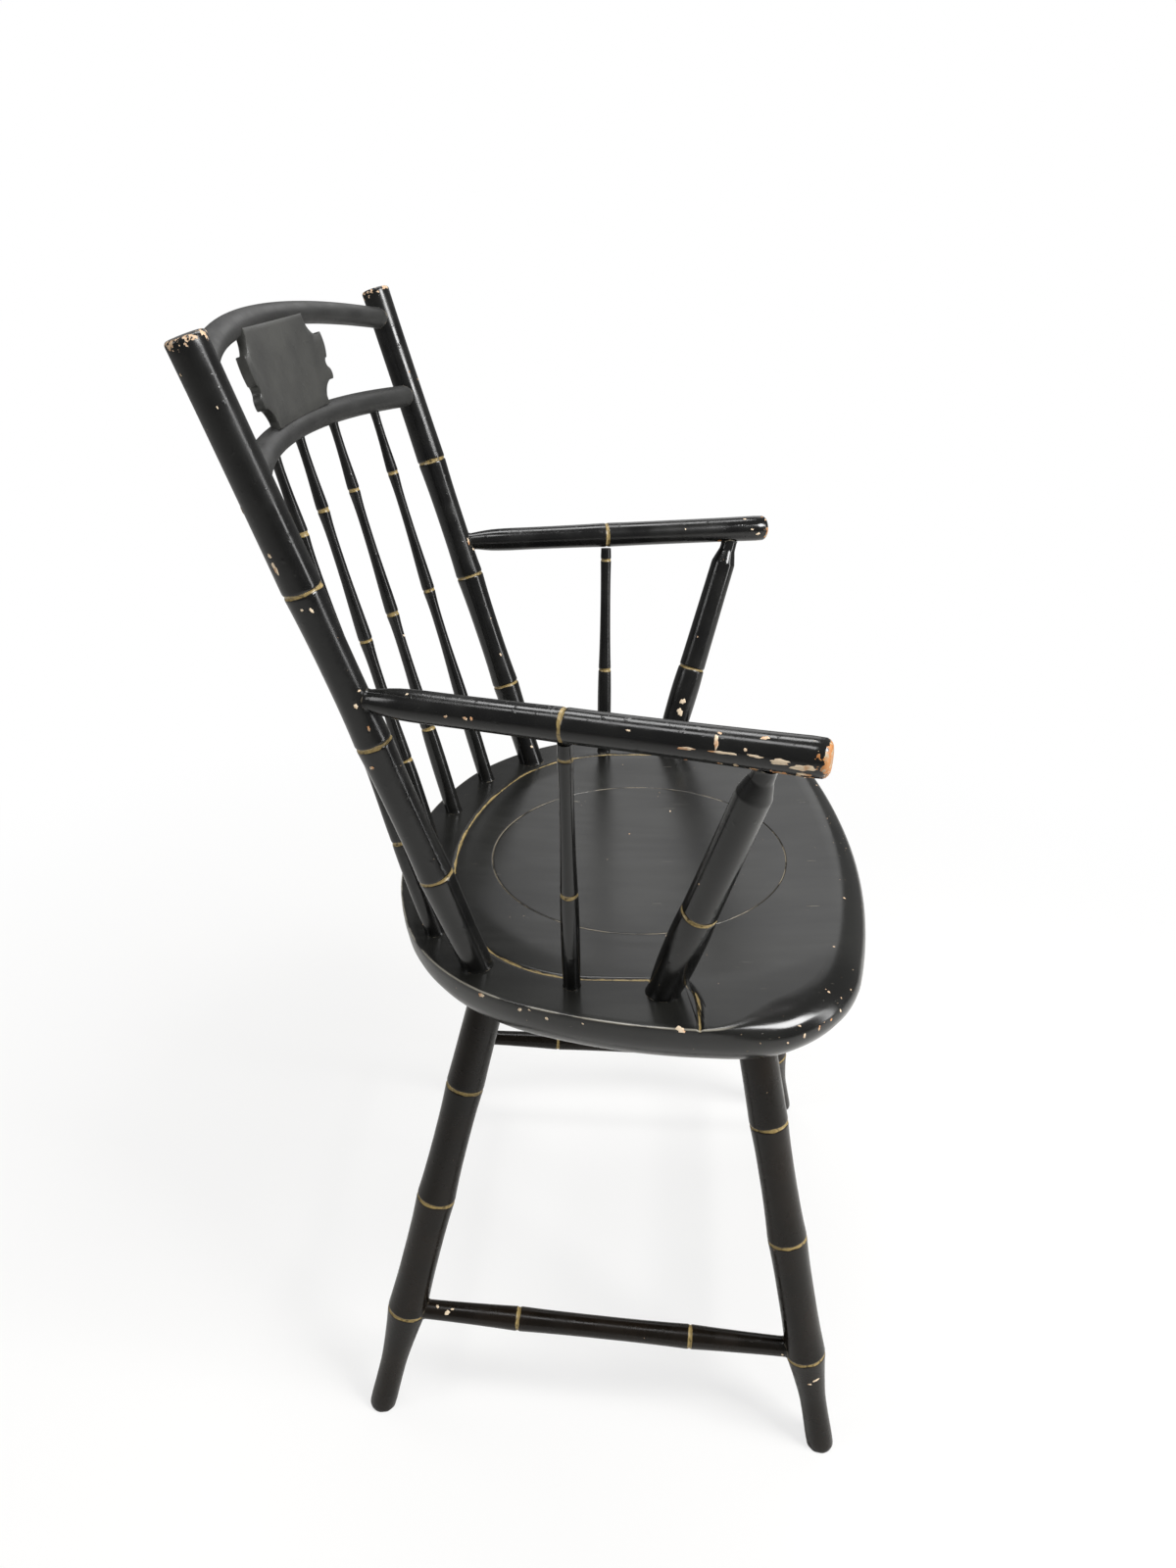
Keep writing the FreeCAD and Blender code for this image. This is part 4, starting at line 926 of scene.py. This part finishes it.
def cream_ground():
    """Old ground and bare wood shown where the paint has chipped off: matt cream to orange-brown."""
    recipe = Recipe(bpy.data.materials.new("chipped_cream_ground"))
    add = recipe.add
    place = add("Attribute", attribute_name="grain", out="Vector")
    # patches of ground left on the wood, 8 mm wide
    share = add("MapRange", recipe.mottle(place, 12, 3.0), 0.32, 0.52, **SMOOTH)
    colour = add("Mix", {0: share, 6: "#bd8a5f", 7: "#dcc9ae"}, **TINT)
    relief = add("Bump", {"Height": share, "Strength": 0.3, "Distance": 0.001})
    return recipe.finish(colour, 0.75, relief, 0.3)


def black_paint(name, dark, light, shine, specular=0.42):
    """Old black oil paint on turned wood: semi-gloss, brushed along the stick, with mustard striping in
    the scores and chips where it was knocked. To the eye it is a deep warm black with soft broken glints."""
    recipe = Recipe(bpy.data.materials.new(name))
    add, mottle, more = recipe.add, recipe.mottle, recipe.more
    place = add("Attribute", attribute_name="grain", out="Vector")
    ring, wear, bead, bare = (
        add("Attribute", attribute_name=key, out="Fac") for key in ("ring", "wear", "bead", "bare")
    )
    # clouds 40 mm across
    cloud = add("MapRange", mottle(place, 2.5, 3.0), 0.3, 0.7, **SMOOTH)
    paint = add("Mix", {0: cloud, 6: dark, 7: light}, **TINT)
    colour, chipped, stripe = stripe_and_chips(recipe, place, ring, wear, paint, 1.35)
    # pale dust in the paint collars, broken every 4 mm
    collar = add("Math", bead, mottle(place, 25, 3.0), **TIMES)
    collar = add("MapRange", collar, 0.38, 0.5, **SMOOTH)
    colour = add("Mix", {0: add("Math", collar, 0.7, **TIMES), 6: colour, 7: "#6a6356"}, **TINT)
    # bare wood with an edge ragged over 6 mm: brown grain under remains of ground and dirt
    tear = add("MapRange", mottle(place, 16, 6.0), 0.3, 0.7, -0.45, 0.45, **SMOOTH)
    open_wood = add("MapRange", add("Math", bare, tear, operation="ADD"), 0.5, 0.56, **SMOOTH)
    grain = mottle(place, 35, 4.0, (1, 1, 0.3))
    wood = add("Mix", {0: grain, 6: "#8f5528", 7: "#bd8650"}, **TINT)
    remains = add("Mix", {0: mottle(place, 45, 3.0), 6: "#d8c3a0", 7: "#2a241c"}, **TINT)
    left = add("MapRange", mottle(place, 30, 5.0), 0.5, 0.6, **SMOOTH)
    wood = add("Mix", {0: left, 6: wood, 7: remains}, **TINT)
    colour = add("Mix", {0: open_wood, 6: colour, 7: wood}, **TINT)
    # the shine changes over 20 mm; chips, bare wood and stripes are duller
    rough = add("MapRange", mottle(place, 5, 4.0), 0.3, 0.7, *shine, **SMOOTH)
    for share, amount in ((chipped, 0.35), (open_wood, 0.3), (stripe, 0.15)):
        rough = more(rough, share, amount)
    # brush streaks 2 mm wide and 30 mm long, grit, and a lump of dried paint here and there
    height = add("Math", mottle(place, 50, 3.0, (1, 1, 0.07)), 0.006, **TIMES)
    height = more(height, mottle(place, 45, 3.0), 0.05)
    lumps = add("MapRange", mottle(place, 22), 0.62, 0.8, 0.0, 0.25, **SMOOTH)
    height = add("Math", height, lumps, operation="ADD")
    height = more(height, chipped, -0.25)
    relief = add("Bump", {"Height": height, "Strength": 0.5, "Distance": 0.001})
    return recipe.finish(colour, rough, relief, specular)


def seat_paint(name):
    """The same paint on the flat of the plank: smoother, dulled by sitting, with fine checks along the
    grain, a mustard line in the gutter, a broken pale line at the round seam and a painted highlight along
    the crisp edge."""
    recipe = Recipe(bpy.data.materials.new(name))
    add, mottle, more = recipe.add, recipe.mottle, recipe.more
    place = add("Attribute", attribute_name="grain", out="Vector")
    ring, seam, arris, wear = (
        add("Attribute", attribute_name=key, out="Fac") for key in ("ring", "seam", "arris", "wear")
    )
    # clouds 80 mm across
    cloud = add("MapRange", mottle(place, 1.2, 4.0), 0.3, 0.7, **SMOOTH)
    paint = add("Mix", {0: cloud, 6: "#131312", 7: "#1d1d1b"}, **TINT)
    colour, chipped, stripe = stripe_and_chips(recipe, place, ring, wear, paint, 0.9)
    # the line at the seam is 1 mm wide and fades every 25 mm
    broken = add("MapRange", mottle(place, 4, 3.0), 0.4, 0.55, 0.15, 1.0, **SMOOTH)
    thin = add("MapRange", add("Math", seam, operation="ABSOLUTE"), 0.65, 0.3, **SMOOTH)
    line = add("Math", thin, broken, **TIMES)
    colour = add("Mix", {0: line, 6: colour, 7: "#7d7566"}, **TINT)
    # a painted highlight along the crisp edge of the plank: a pale line, broken in stretches of 30 mm
    patchy = add("MapRange", mottle(place, 3, 4.0), 0.3, 0.5, 0.6, 1.0, **SMOOTH)
    edge = add("MapRange", add("Math", arris, patchy, **TIMES), 0.6, 0.95, 0.0, 0.8, **SMOOTH)
    colour = add("Mix", {0: edge, 6: colour, 7: "#8f8b80"}, **TINT)
    # checks along the grain, under 1 mm wide and up to 40 mm long, in patches 50 mm wide
    checks = add("MapRange", mottle(place, 50, 2.0, (1, 1, 0.045)), 0.71, 0.74, **SMOOTH)
    patch = add("MapRange", mottle(place, 2), 0.5, 0.62, **SMOOTH)
    checks = add("Math", checks, patch, **TIMES)
    colour = add("Mix", {0: add("Math", checks, 0.35, **TIMES), 6: colour, 7: "#8e8878"}, **TINT)
    # wiped streaks 7 mm wide and 70 mm long; the front roll is polished by knees
    rough = add("MapRange", mottle(place, 15, 3.0, (1, 1, 0.1)), 0.3, 0.7, 0.22, 0.27, **SMOOTH)
    polished = add("MapRange", wear, 0.0, 0.15, 0.0, 0.06, **SMOOTH)
    for share, amount in ((polished, -1.0), (chipped, 0.35), (stripe, 0.15)):
        rough = more(rough, share, amount)
    # wood grain showing through as streaks 2 mm wide and 40 mm long
    height = add("Math", mottle(place, 50, 3.0, (1, 1, 0.05)), 0.018, **TIMES)
    for share in (checks, line):
        height = more(height, share, -0.3)
    relief = add("Bump", {"Height": height, "Strength": 0.4, "Distance": 0.001})
    return recipe.finish(colour, rough, relief, 0.42)


# Chair

# Chips on the seat: x, y, drop below the deck, length, width, and the outward lean of the line to it
SEAT_CHIPS = (
    (-245, -86, 0, 6.0, 4.2, 0.7), (-232, 6, 0, 3.0, 2.2, 0.7), (-224, 25, 0, 3.4, 2.6, 0.7),
    (-209, 54, 0, 4.6, 4.0, 0.7), (-226, 18, 0, 1.6, 1.4, 1.0), (-238, -20, 0, 1.8, 1.2, 0.7),
    (82, -78, 0, 1.2, 2.2, 0.0), (40, -42, 0, 1.0, 1.8, 0.0), (-20, -107, 0, 1.4, 3.0, 0.0),
    (-72, -219, 2, 1.6, 2.6, 1.0), (-234, -158, 18, 1.8, 1.6, 2.0), (-229, -170, 16, 2.4, 3.2, 2.0),
    (-222, -181, 15, 1.8, 3.8, 2.0), (-214, -190, 14, 1.6, 2.4, 2.0), (-205, -197, 13, 1.4, 2.4, 2.0),
)


def build_chair():
    """Every piece in its own shade of the old paint; the rods and the tablet are paler, with a painted
    reflection.
    """
    stick_paint = black_paint("black_oil_paint_on_sticks", "#0d0d0d", "#161615", (0.14, 0.27))
    leg_paint = black_paint("black_oil_paint_on_legs", "#0e0b07", "#17110b", (0.2, 0.34), 0.24)
    # rods and tablet: a paler grey-black base than the sticks, a painted reflection of the bright
    # surroundings on duller, rougher paint
    rod_paint = black_paint("dull_black_paint_on_rods_with_painted_reflection", "#20201f", "#2b2b2a", (0.42, 0.54), 0.5)
    board_paint = black_paint("dull_black_paint_on_tablet_with_painted_reflection", "#2d2d2b", "#383835", (0.36, 0.46), 0.5)
    plank_paint = seat_paint("black_oil_paint_on_seat")
    seat_chips(seat(plank_paint), plug(plank_paint))
    build_legs(leg_paint)
    build_back(stick_paint, rod_paint)
    build_arms(stick_paint)
    tablet(board_paint)


# Chips in the paint: station along the stick, turn about it in degrees, length and width
LEG_CHIPS = {("front", RIGHT): ((76, -116, 2.2, 5.5), (73, -140, 1.4, 3.0))}
STRETCHER_CHIPS = {
    "stretcher_right": (
        (27, -71, 3.0, 2.6), (36, -42, 4.6, 3.6), (40, -64, 2.4, 2.0), (321, 2, 2.0, 1.6),
    ),
}


def build_legs(paint):
    """Four legs, thickest at their lowest ring, and the box of stretchers between them."""
    for number, which in enumerate(("front", "back")):
        for side, side_name in SIDES:
            leg = leg_line(which, side)
            heights = [LEGS[which]["ring"] + step for step in LEG_RING_STEPS]
            rings = [leg.at_height(height) for height in heights]
            knots = [
                (-5.0, 11.4), (leg.at_height(12.0), 11.5), (leg.at_height(46.0), 11.3),
                (rings[0], 17.0), (rings[1], 16.4), (rings[2], 15.7), (leg.length + 8.0, 15.0),
            ]
            waists = [0.0, 0.2, 0.6, 1.4, 1.4, 0.5]
            top = leg.length
            turned(
                f"turned_leg_{which}_{side_name}", leg, knots, waists, rings,
                f"leg_{which}_{side_name}", paint, 1.7 + 2.1 * number + side, columns=44,
                foot_round=6.5, beads=[below_underside], dense=[(top - 7, top + 7)],
                spots=LEG_CHIPS.get((which, side), ()),
            )
        height = CROSS_STRETCHER_HEIGHT
        low, high = leg_line(which, RIGHT), leg_line(which, LEFT)
        line = Stick(low.at(low.at_height(height)), high.at(high.at_height(height)))
        stretcher(f"stretcher_{which}", line, low, high, paint, 5.3 + number)
    for side, side_name in SIDES:
        back, front = leg_line("back", side), leg_line("front", side)
        start = back.at(back.at_height(LEGS["back"]["stretcher"]))
        end = front.at(front.at_height(LEGS["front"]["stretcher"]))
        stretcher(f"stretcher_{side_name}", Stick(start, end), back, front, paint, 7.9 + side)


def stretcher(node, line, first, second, paint, seed):
    """A stick between two legs, thickest at its two rings."""
    rings = [line.length * 0.285, line.length * 0.715]
    end = line.length
    knots = [(8.0, 8.0), (20.0, 8.1), (rings[0], 10.0), (rings[1], 10.0), (end - 20, 8.1), (end - 8, 8.0)]
    turned(
        "turned_" + node, line, knots, [0.0, 0.3, 0.9, 0.3, 0.0], rings, node, paint, seed,
        columns=32, groove=0.8, beads=[off_stick(leg, LEG_RADIUS_AT_STRETCHER) for leg in (first, second)],
        dense=[(12, 22), (end - 22, end - 12)], spots=STRETCHER_CHIPS.get(node, ()),
    )


POST_CHIPS = {
    RIGHT: (
        (330, 139, 3.4, 1.8), (322, 138, 7.0, 3.2), (358, 99, 3.5, 1.2), (294, 159, 1.8, 1.4),
        (292, -176, 3.2, 2.0), (208, -170, 3.0, 2.0), (181, 144, 2.6, 2.8), (436, 127, 1.6, 1.2),
        (225, -177, 2.6, 3.0), (222, -147, 3.0, 4.2), (233, -146, 1.6, 2.0), (415, -174, 1.4, 1.0),
    ),
    LEFT: (
        (114, -129, 2.6, 2.2), (224, -100, 6.0, 2.4), (216, -78, 4.5, 3.4), (17, -125, 2.6, 2.8),
        (150, -118, 1.4, 1.2), (380, -120, 1.4, 1.2),
    ),
}
ARM_CHIPS = {
    RIGHT: (
        (68, -2, 2.0, 1.6), (81, -4, 2.6, 2.2), (85, -6, 2.2, 2.0), (40, -65, 1.6, 1.6),
        (183, -33, 2.2, 1.4), (235, -32, 3.0, 8.0), (218, -1, 11.0, 1.6), (240, -3, 14.0, 1.8),
        (258, -5, 9.0, 1.6), (272, 2, 13.0, 3.2), (285, 11, 12.0, 4.6), (236, -60, 2.4, 1.8),
        (252, -20, 2.6, 1.6), (262, -62, 5.0, 2.6), (286, 35, 7.0, 3.0),
    ),
    LEFT: ((276, -65, 2.6, 1.6), (216, -25, 1.8, 1.4), (288, 12, 4.0, 2.4), (282, -10, 2.4, 1.8)),
}
ARM_POST_CHIPS = {
    RIGHT: ((52, -60, 1.6, 1.4),),
    LEFT: ((52, -45, 6.0, 5.0), (41, -43, 7.5, 5.5), (117, -65, 1.6, 1.2)),
}


def build_back(stick_paint, rod_paint):
    """Two posts, two bent rods and five spindles that fan out to stand at even steps along the lower rod."""
    for side, side_name in SIDES:
        post = post_line(side)
        rings = [post.at_height(height) for height in (LOW_RING, MID_RING, HIGH_RING)]
        knots = [(-10.0, 11.6), (4.0, 11.6), (rings[0], 12.7), (rings[1], 12.7), (rings[2], 12.7),
                 (post.length, 12.2)]
        turned(
            f"turned_post_{side_name}", post, knots, [0.0, 0.5, 1.2, 1.2, 0.3], rings,
            f"back_post_{side_name}", stick_paint, 3.1 + side, columns=48, head_round=2.5,
            beads=[above_deck], dense=[(-6, 7)], worn_head=1.0, spots=POST_CHIPS[side],
            lines=[post.length - 4.5],
        )
    bent_rod("bent_crest_rod", crest_line, CREST_RADIUS, "crest_rod", rod_paint, 1.3)
    bent_rod("bent_lower_rod", lower_line, LOWER_RADIUS, "lower_rod", rod_paint, 2.9)
    for number, place in enumerate((-2, -1, 0, 1, 2), start=1):
        foot_x = SPINDLE_FOOT_STEP * place
        foot_y = SPINDLE_FOOT_Y - SPINDLE_FOOT_ARC + math.sqrt(SPINDLE_FOOT_ARC ** 2 - foot_x ** 2)
        head = lower_line.at(np.array([SPINDLE_TOP_STEP * place]))[0]
        line = Stick(deck_spot(foot_x, foot_y), head)
        rings = [line.at_height(height) for height in (LOW_RING, MID_RING, HIGH_RING)]
        end = line.length - LOWER_RADIUS + 4.0
        knots = [(-10.0, 7.3), (3.0, 7.2), (rings[0], 6.3), (rings[1], 5.7), (rings[2], 4.9), (end, 4.2)]
        turned(
            f"turned_spindle_{number}", line, knots, [0.0, -0.5, 1.4, 1.3, 0.9], rings,
            f"back_spindle_{number}", stick_paint, 0.7 * number, columns=28, groove=0.6,
            skew=1.7, beads=[above_deck], dense=[(-5, 6)],
            spots=[(171.0, -100.0, 2.2, 1.8)] if number == 4 else (),
        )


def build_arms(paint):
    """Arms that thicken towards the front, each on a post with a tapered neck and on a spindle."""
    for side, side_name in SIDES:
        arm = arm_line(side)
        post = post_line(side)
        ring = arm.length * ARM_RING_SHARE
        knots = [(6.0, 6.6), (13.0, 7.4), (22.0, 8.9), (33.0, 10.1), (48.0, 10.5),
                 (ring, ARM_RADIUS_AT_RING), (arm.length, ARM_RADIUS_AT_END)]

        def bare_end(s, a, arm=arm, amount=1.0 if side == RIGHT else 0.45):
            """Bare wood: a bell over the last 5 mm, and a wider, weaker one on the side that faces down."""
            ahead = bell(arm.length - s, 5.0) * 0.95
            below = bell(arm.length - 30 - s, 55.0) * 0.42
            under = smooth(0.35, 0.9, -np.sin(a) if arm.front[2] > 0 else np.sin(a))
            return amount * np.maximum(ahead, below * under)

        turned(
            f"turned_arm_{side_name}", arm, knots, [0, 0, 0, 0, 0.3, 0.5], [ring],
            f"arm_{side_name}", paint, 4.7 + side, columns=48, groove=0.6, head_round=6.0,
            beads=[off_stick(post, POST_RADIUS_AT_ARM)], dense=[(9, 16)], bare=bare_end, worn_head=0.6,
            spots=ARM_CHIPS[side],
        )
        foot = deck_spot(side * ARM_POST_FOOT[0], ARM_POST_FOOT[1])
        line = Stick(foot, arm.at(arm.length - ARM_POST_REACH))
        ring = line.at_height(ARM_RING_HEIGHT)
        under = line.length - ARM_RADIUS_AT_END
        knots = [(-10.0, 11.6), (6.0, 11.6), (ring, 12.8), (under - 21.0, 11.6), (under - 15.0, 9.9),
                 (under - 8.0, 7.8), (under + 5.0, 7.0)]
        turned(
            f"turned_arm_post_{side_name}", line, knots, [0.0, -1.4, 0.1, 0.0, 0.0, 0.0], [ring],
            f"arm_post_{side_name}", paint, 6.1 + side, columns=44,
            beads=[above_deck, off_stick(arm, ARM_RADIUS_AT_POST)], dense=[(-6, 8), (under - 24, under + 3)],
            spots=ARM_POST_CHIPS[side],
        )
        foot = deck_spot(side * ARM_SPINDLE_FOOT[0], ARM_SPINDLE_FOOT[1])
        line = Stick(foot, arm.at(arm.length * ARM_RING_SHARE))
        under = line.length - ARM_RADIUS_AT_RING
        rings = [line.at_height(ARM_RING_HEIGHT), under - 12.0]
        knots = [(-10.0, 6.3), (3.0, 6.3), (rings[0], 6.2), (rings[1], 5.2), (under + 5, 4.6)]
        turned(
            f"turned_arm_spindle_{side_name}", line, knots, [0.0, -0.5, 0.7, 0.0], rings,
            f"arm_spindle_{side_name}", paint, 8.3 + side, columns=28, groove=0.6,
            beads=[above_deck], dense=[(-4, 5)],
        )


# Studio

def studio_paper():
    """Matt white paper: it carries the chair's soft shadow and fades to plain white further out."""
    recipe = Recipe(bpy.data.materials.new("white_studio_paper"))
    add = recipe.add
    paper = add("BsdfDiffuse", {"Color": "#e4e3e0"})
    white = add("Emission", {"Color": "#ffffff", "Strength": 1.0})
    ray = add("LightPath", out=None).outputs
    away = add("VectorMath", add("TexCoord", out="Object"), operation="LENGTH", out="Value")
    fade = add("MapRange", away, 0.3, 1.4, 0.72, 1.0, **SMOOTH)
    seen = add("Math", ray["Is Camera Ray"], ray["Is Transmission Ray"], **MOST)
    surface = add("MixShader", add("Math", seen, fade, **TIMES), paper, white)
    add("OutputMaterial", {"Surface": surface}, out=None)
    return recipe.owner


def studio_sky():
    """White all round to the camera and through glass. Gloss shows it at a quarter of that, so that the
    paint stays black, and it lights the chair at a fifth."""
    recipe = Recipe(bpy.data.worlds.new("studio_light"))
    bpy.context.scene.world = recipe.owner
    ray = recipe.add("LightPath", out=None).outputs
    level = 0.2
    for kind, strength in (("Camera", 1.0), ("Transmission", 1.0), ("Glossy", 0.25)):
        share = recipe.add("Math", ray[f"Is {kind} Ray"], strength, **TIMES)
        level = recipe.add("Math", level, share, **MOST)
    sky = recipe.add("Background", {"Color": "#ffffff", "Strength": level})
    recipe.add("OutputWorld", {"Surface": sky}, out=None)


def studio():
    """Pale floor, white surroundings and six softboxes at a plain level."""
    size = 8.0
    mesh = bpy.data.meshes.new("studio_floor")
    mesh.from_pydata(
        [(-size, -size, 0), (size, -size, 0), (size, size, 0), (-size, size, 0)], [], [(0, 1, 2, 3)]
    )
    floor = bpy.data.objects.new("studio_floor", mesh)
    mesh.materials.append(studio_paper())
    bpy.context.scene.collection.objects.link(floor)
    studio_sky()
    lamp("top_softbox", (0.6, 0.1, 2.3), (0, 0.05, 0.45), 1.2, 0.5, 18.0)
    lamp("near_softbox", (-0.6, 0.3, 2.4), (-0.1, 0.05, 0.5), 1.2, 0.4, 12.0)
    lamp("roll_softbox", (-0.66, -1.36, 1.75), (-0.23, -0.16, 0.46), 0.7, 0.7, 42.0)
    lamp("front_softbox", (-0.4, -2.2, 1.0), (-0.1, 0.0, 0.7), 0.4, 1.6, 16.0)
    lamp("back_softbox", (-0.8, 2.0, 1.7), (0, 0.1, 0.6), 0.8, 0.8, 12.0)
    lamp("far_softbox", (2.4, -0.3, 1.9), (0, 0.0, 0.5), 1.3, 1.3, 6.0)


def lamp(name, place, target, width, height, watts):
    """A softbox at a place, facing a target; its height runs along its own upward side."""
    light = bpy.data.lights.new(name, "AREA")
    light.shape = "RECTANGLE"
    light.size = width
    light.size_y = height
    light.energy = watts
    holder = bpy.data.objects.new(name, light)
    ahead = unit(np.array(target) - np.array(place))
    side = unit(np.cross(ahead, vec(0, 0, 1)))
    holder.matrix_world = placed(side, np.cross(side, ahead), -ahead, np.array(place))
    bpy.context.scene.collection.objects.link(holder)


def placed(side, up, back, place):
    """Matrix of a lamp or camera from its three axes and its place."""
    matrix = Matrix.Identity(4)
    for row in range(3):
        matrix[row][0], matrix[row][1], matrix[row][2] = side[row], up[row], back[row]
        matrix[row][3] = place[row]
    return matrix


def camera():
    """The photograph's viewpoint: yaw from +X, pitched down, slightly rolled."""
    yaw, pitch, roll = (math.radians(v) for v in (CAMERA_YAW, CAMERA_PITCH, CAMERA_ROLL))
    ahead = vec(
        math.cos(pitch) * math.cos(yaw), math.cos(pitch) * math.sin(yaw), -math.sin(pitch)
    )
    level = vec(math.sin(yaw), -math.cos(yaw), 0)
    upright = np.cross(level, ahead)
    side = math.cos(roll) * level + math.sin(roll) * upright
    up = -math.sin(roll) * level + math.cos(roll) * upright
    lens = bpy.data.cameras.new("photo_camera")
    lens.sensor_fit = "HORIZONTAL"
    lens.sensor_width = SENSOR_WIDTH
    lens.lens = CAMERA_FOCAL_PIXELS / PICTURE_WIDTH * SENSOR_WIDTH
    lens.clip_start = 0.05
    holder = bpy.data.objects.new("photo_camera", lens)
    holder.matrix_world = placed(side, up, -ahead, np.array(CAMERA_PLACE) * MM)
    bpy.context.scene.collection.objects.link(holder)
    bpy.context.scene.camera = holder


chipped_ground = cream_ground()
build_chair()
studio()
camera()
bpy.context.scene.view_settings.view_transform = "Standard"
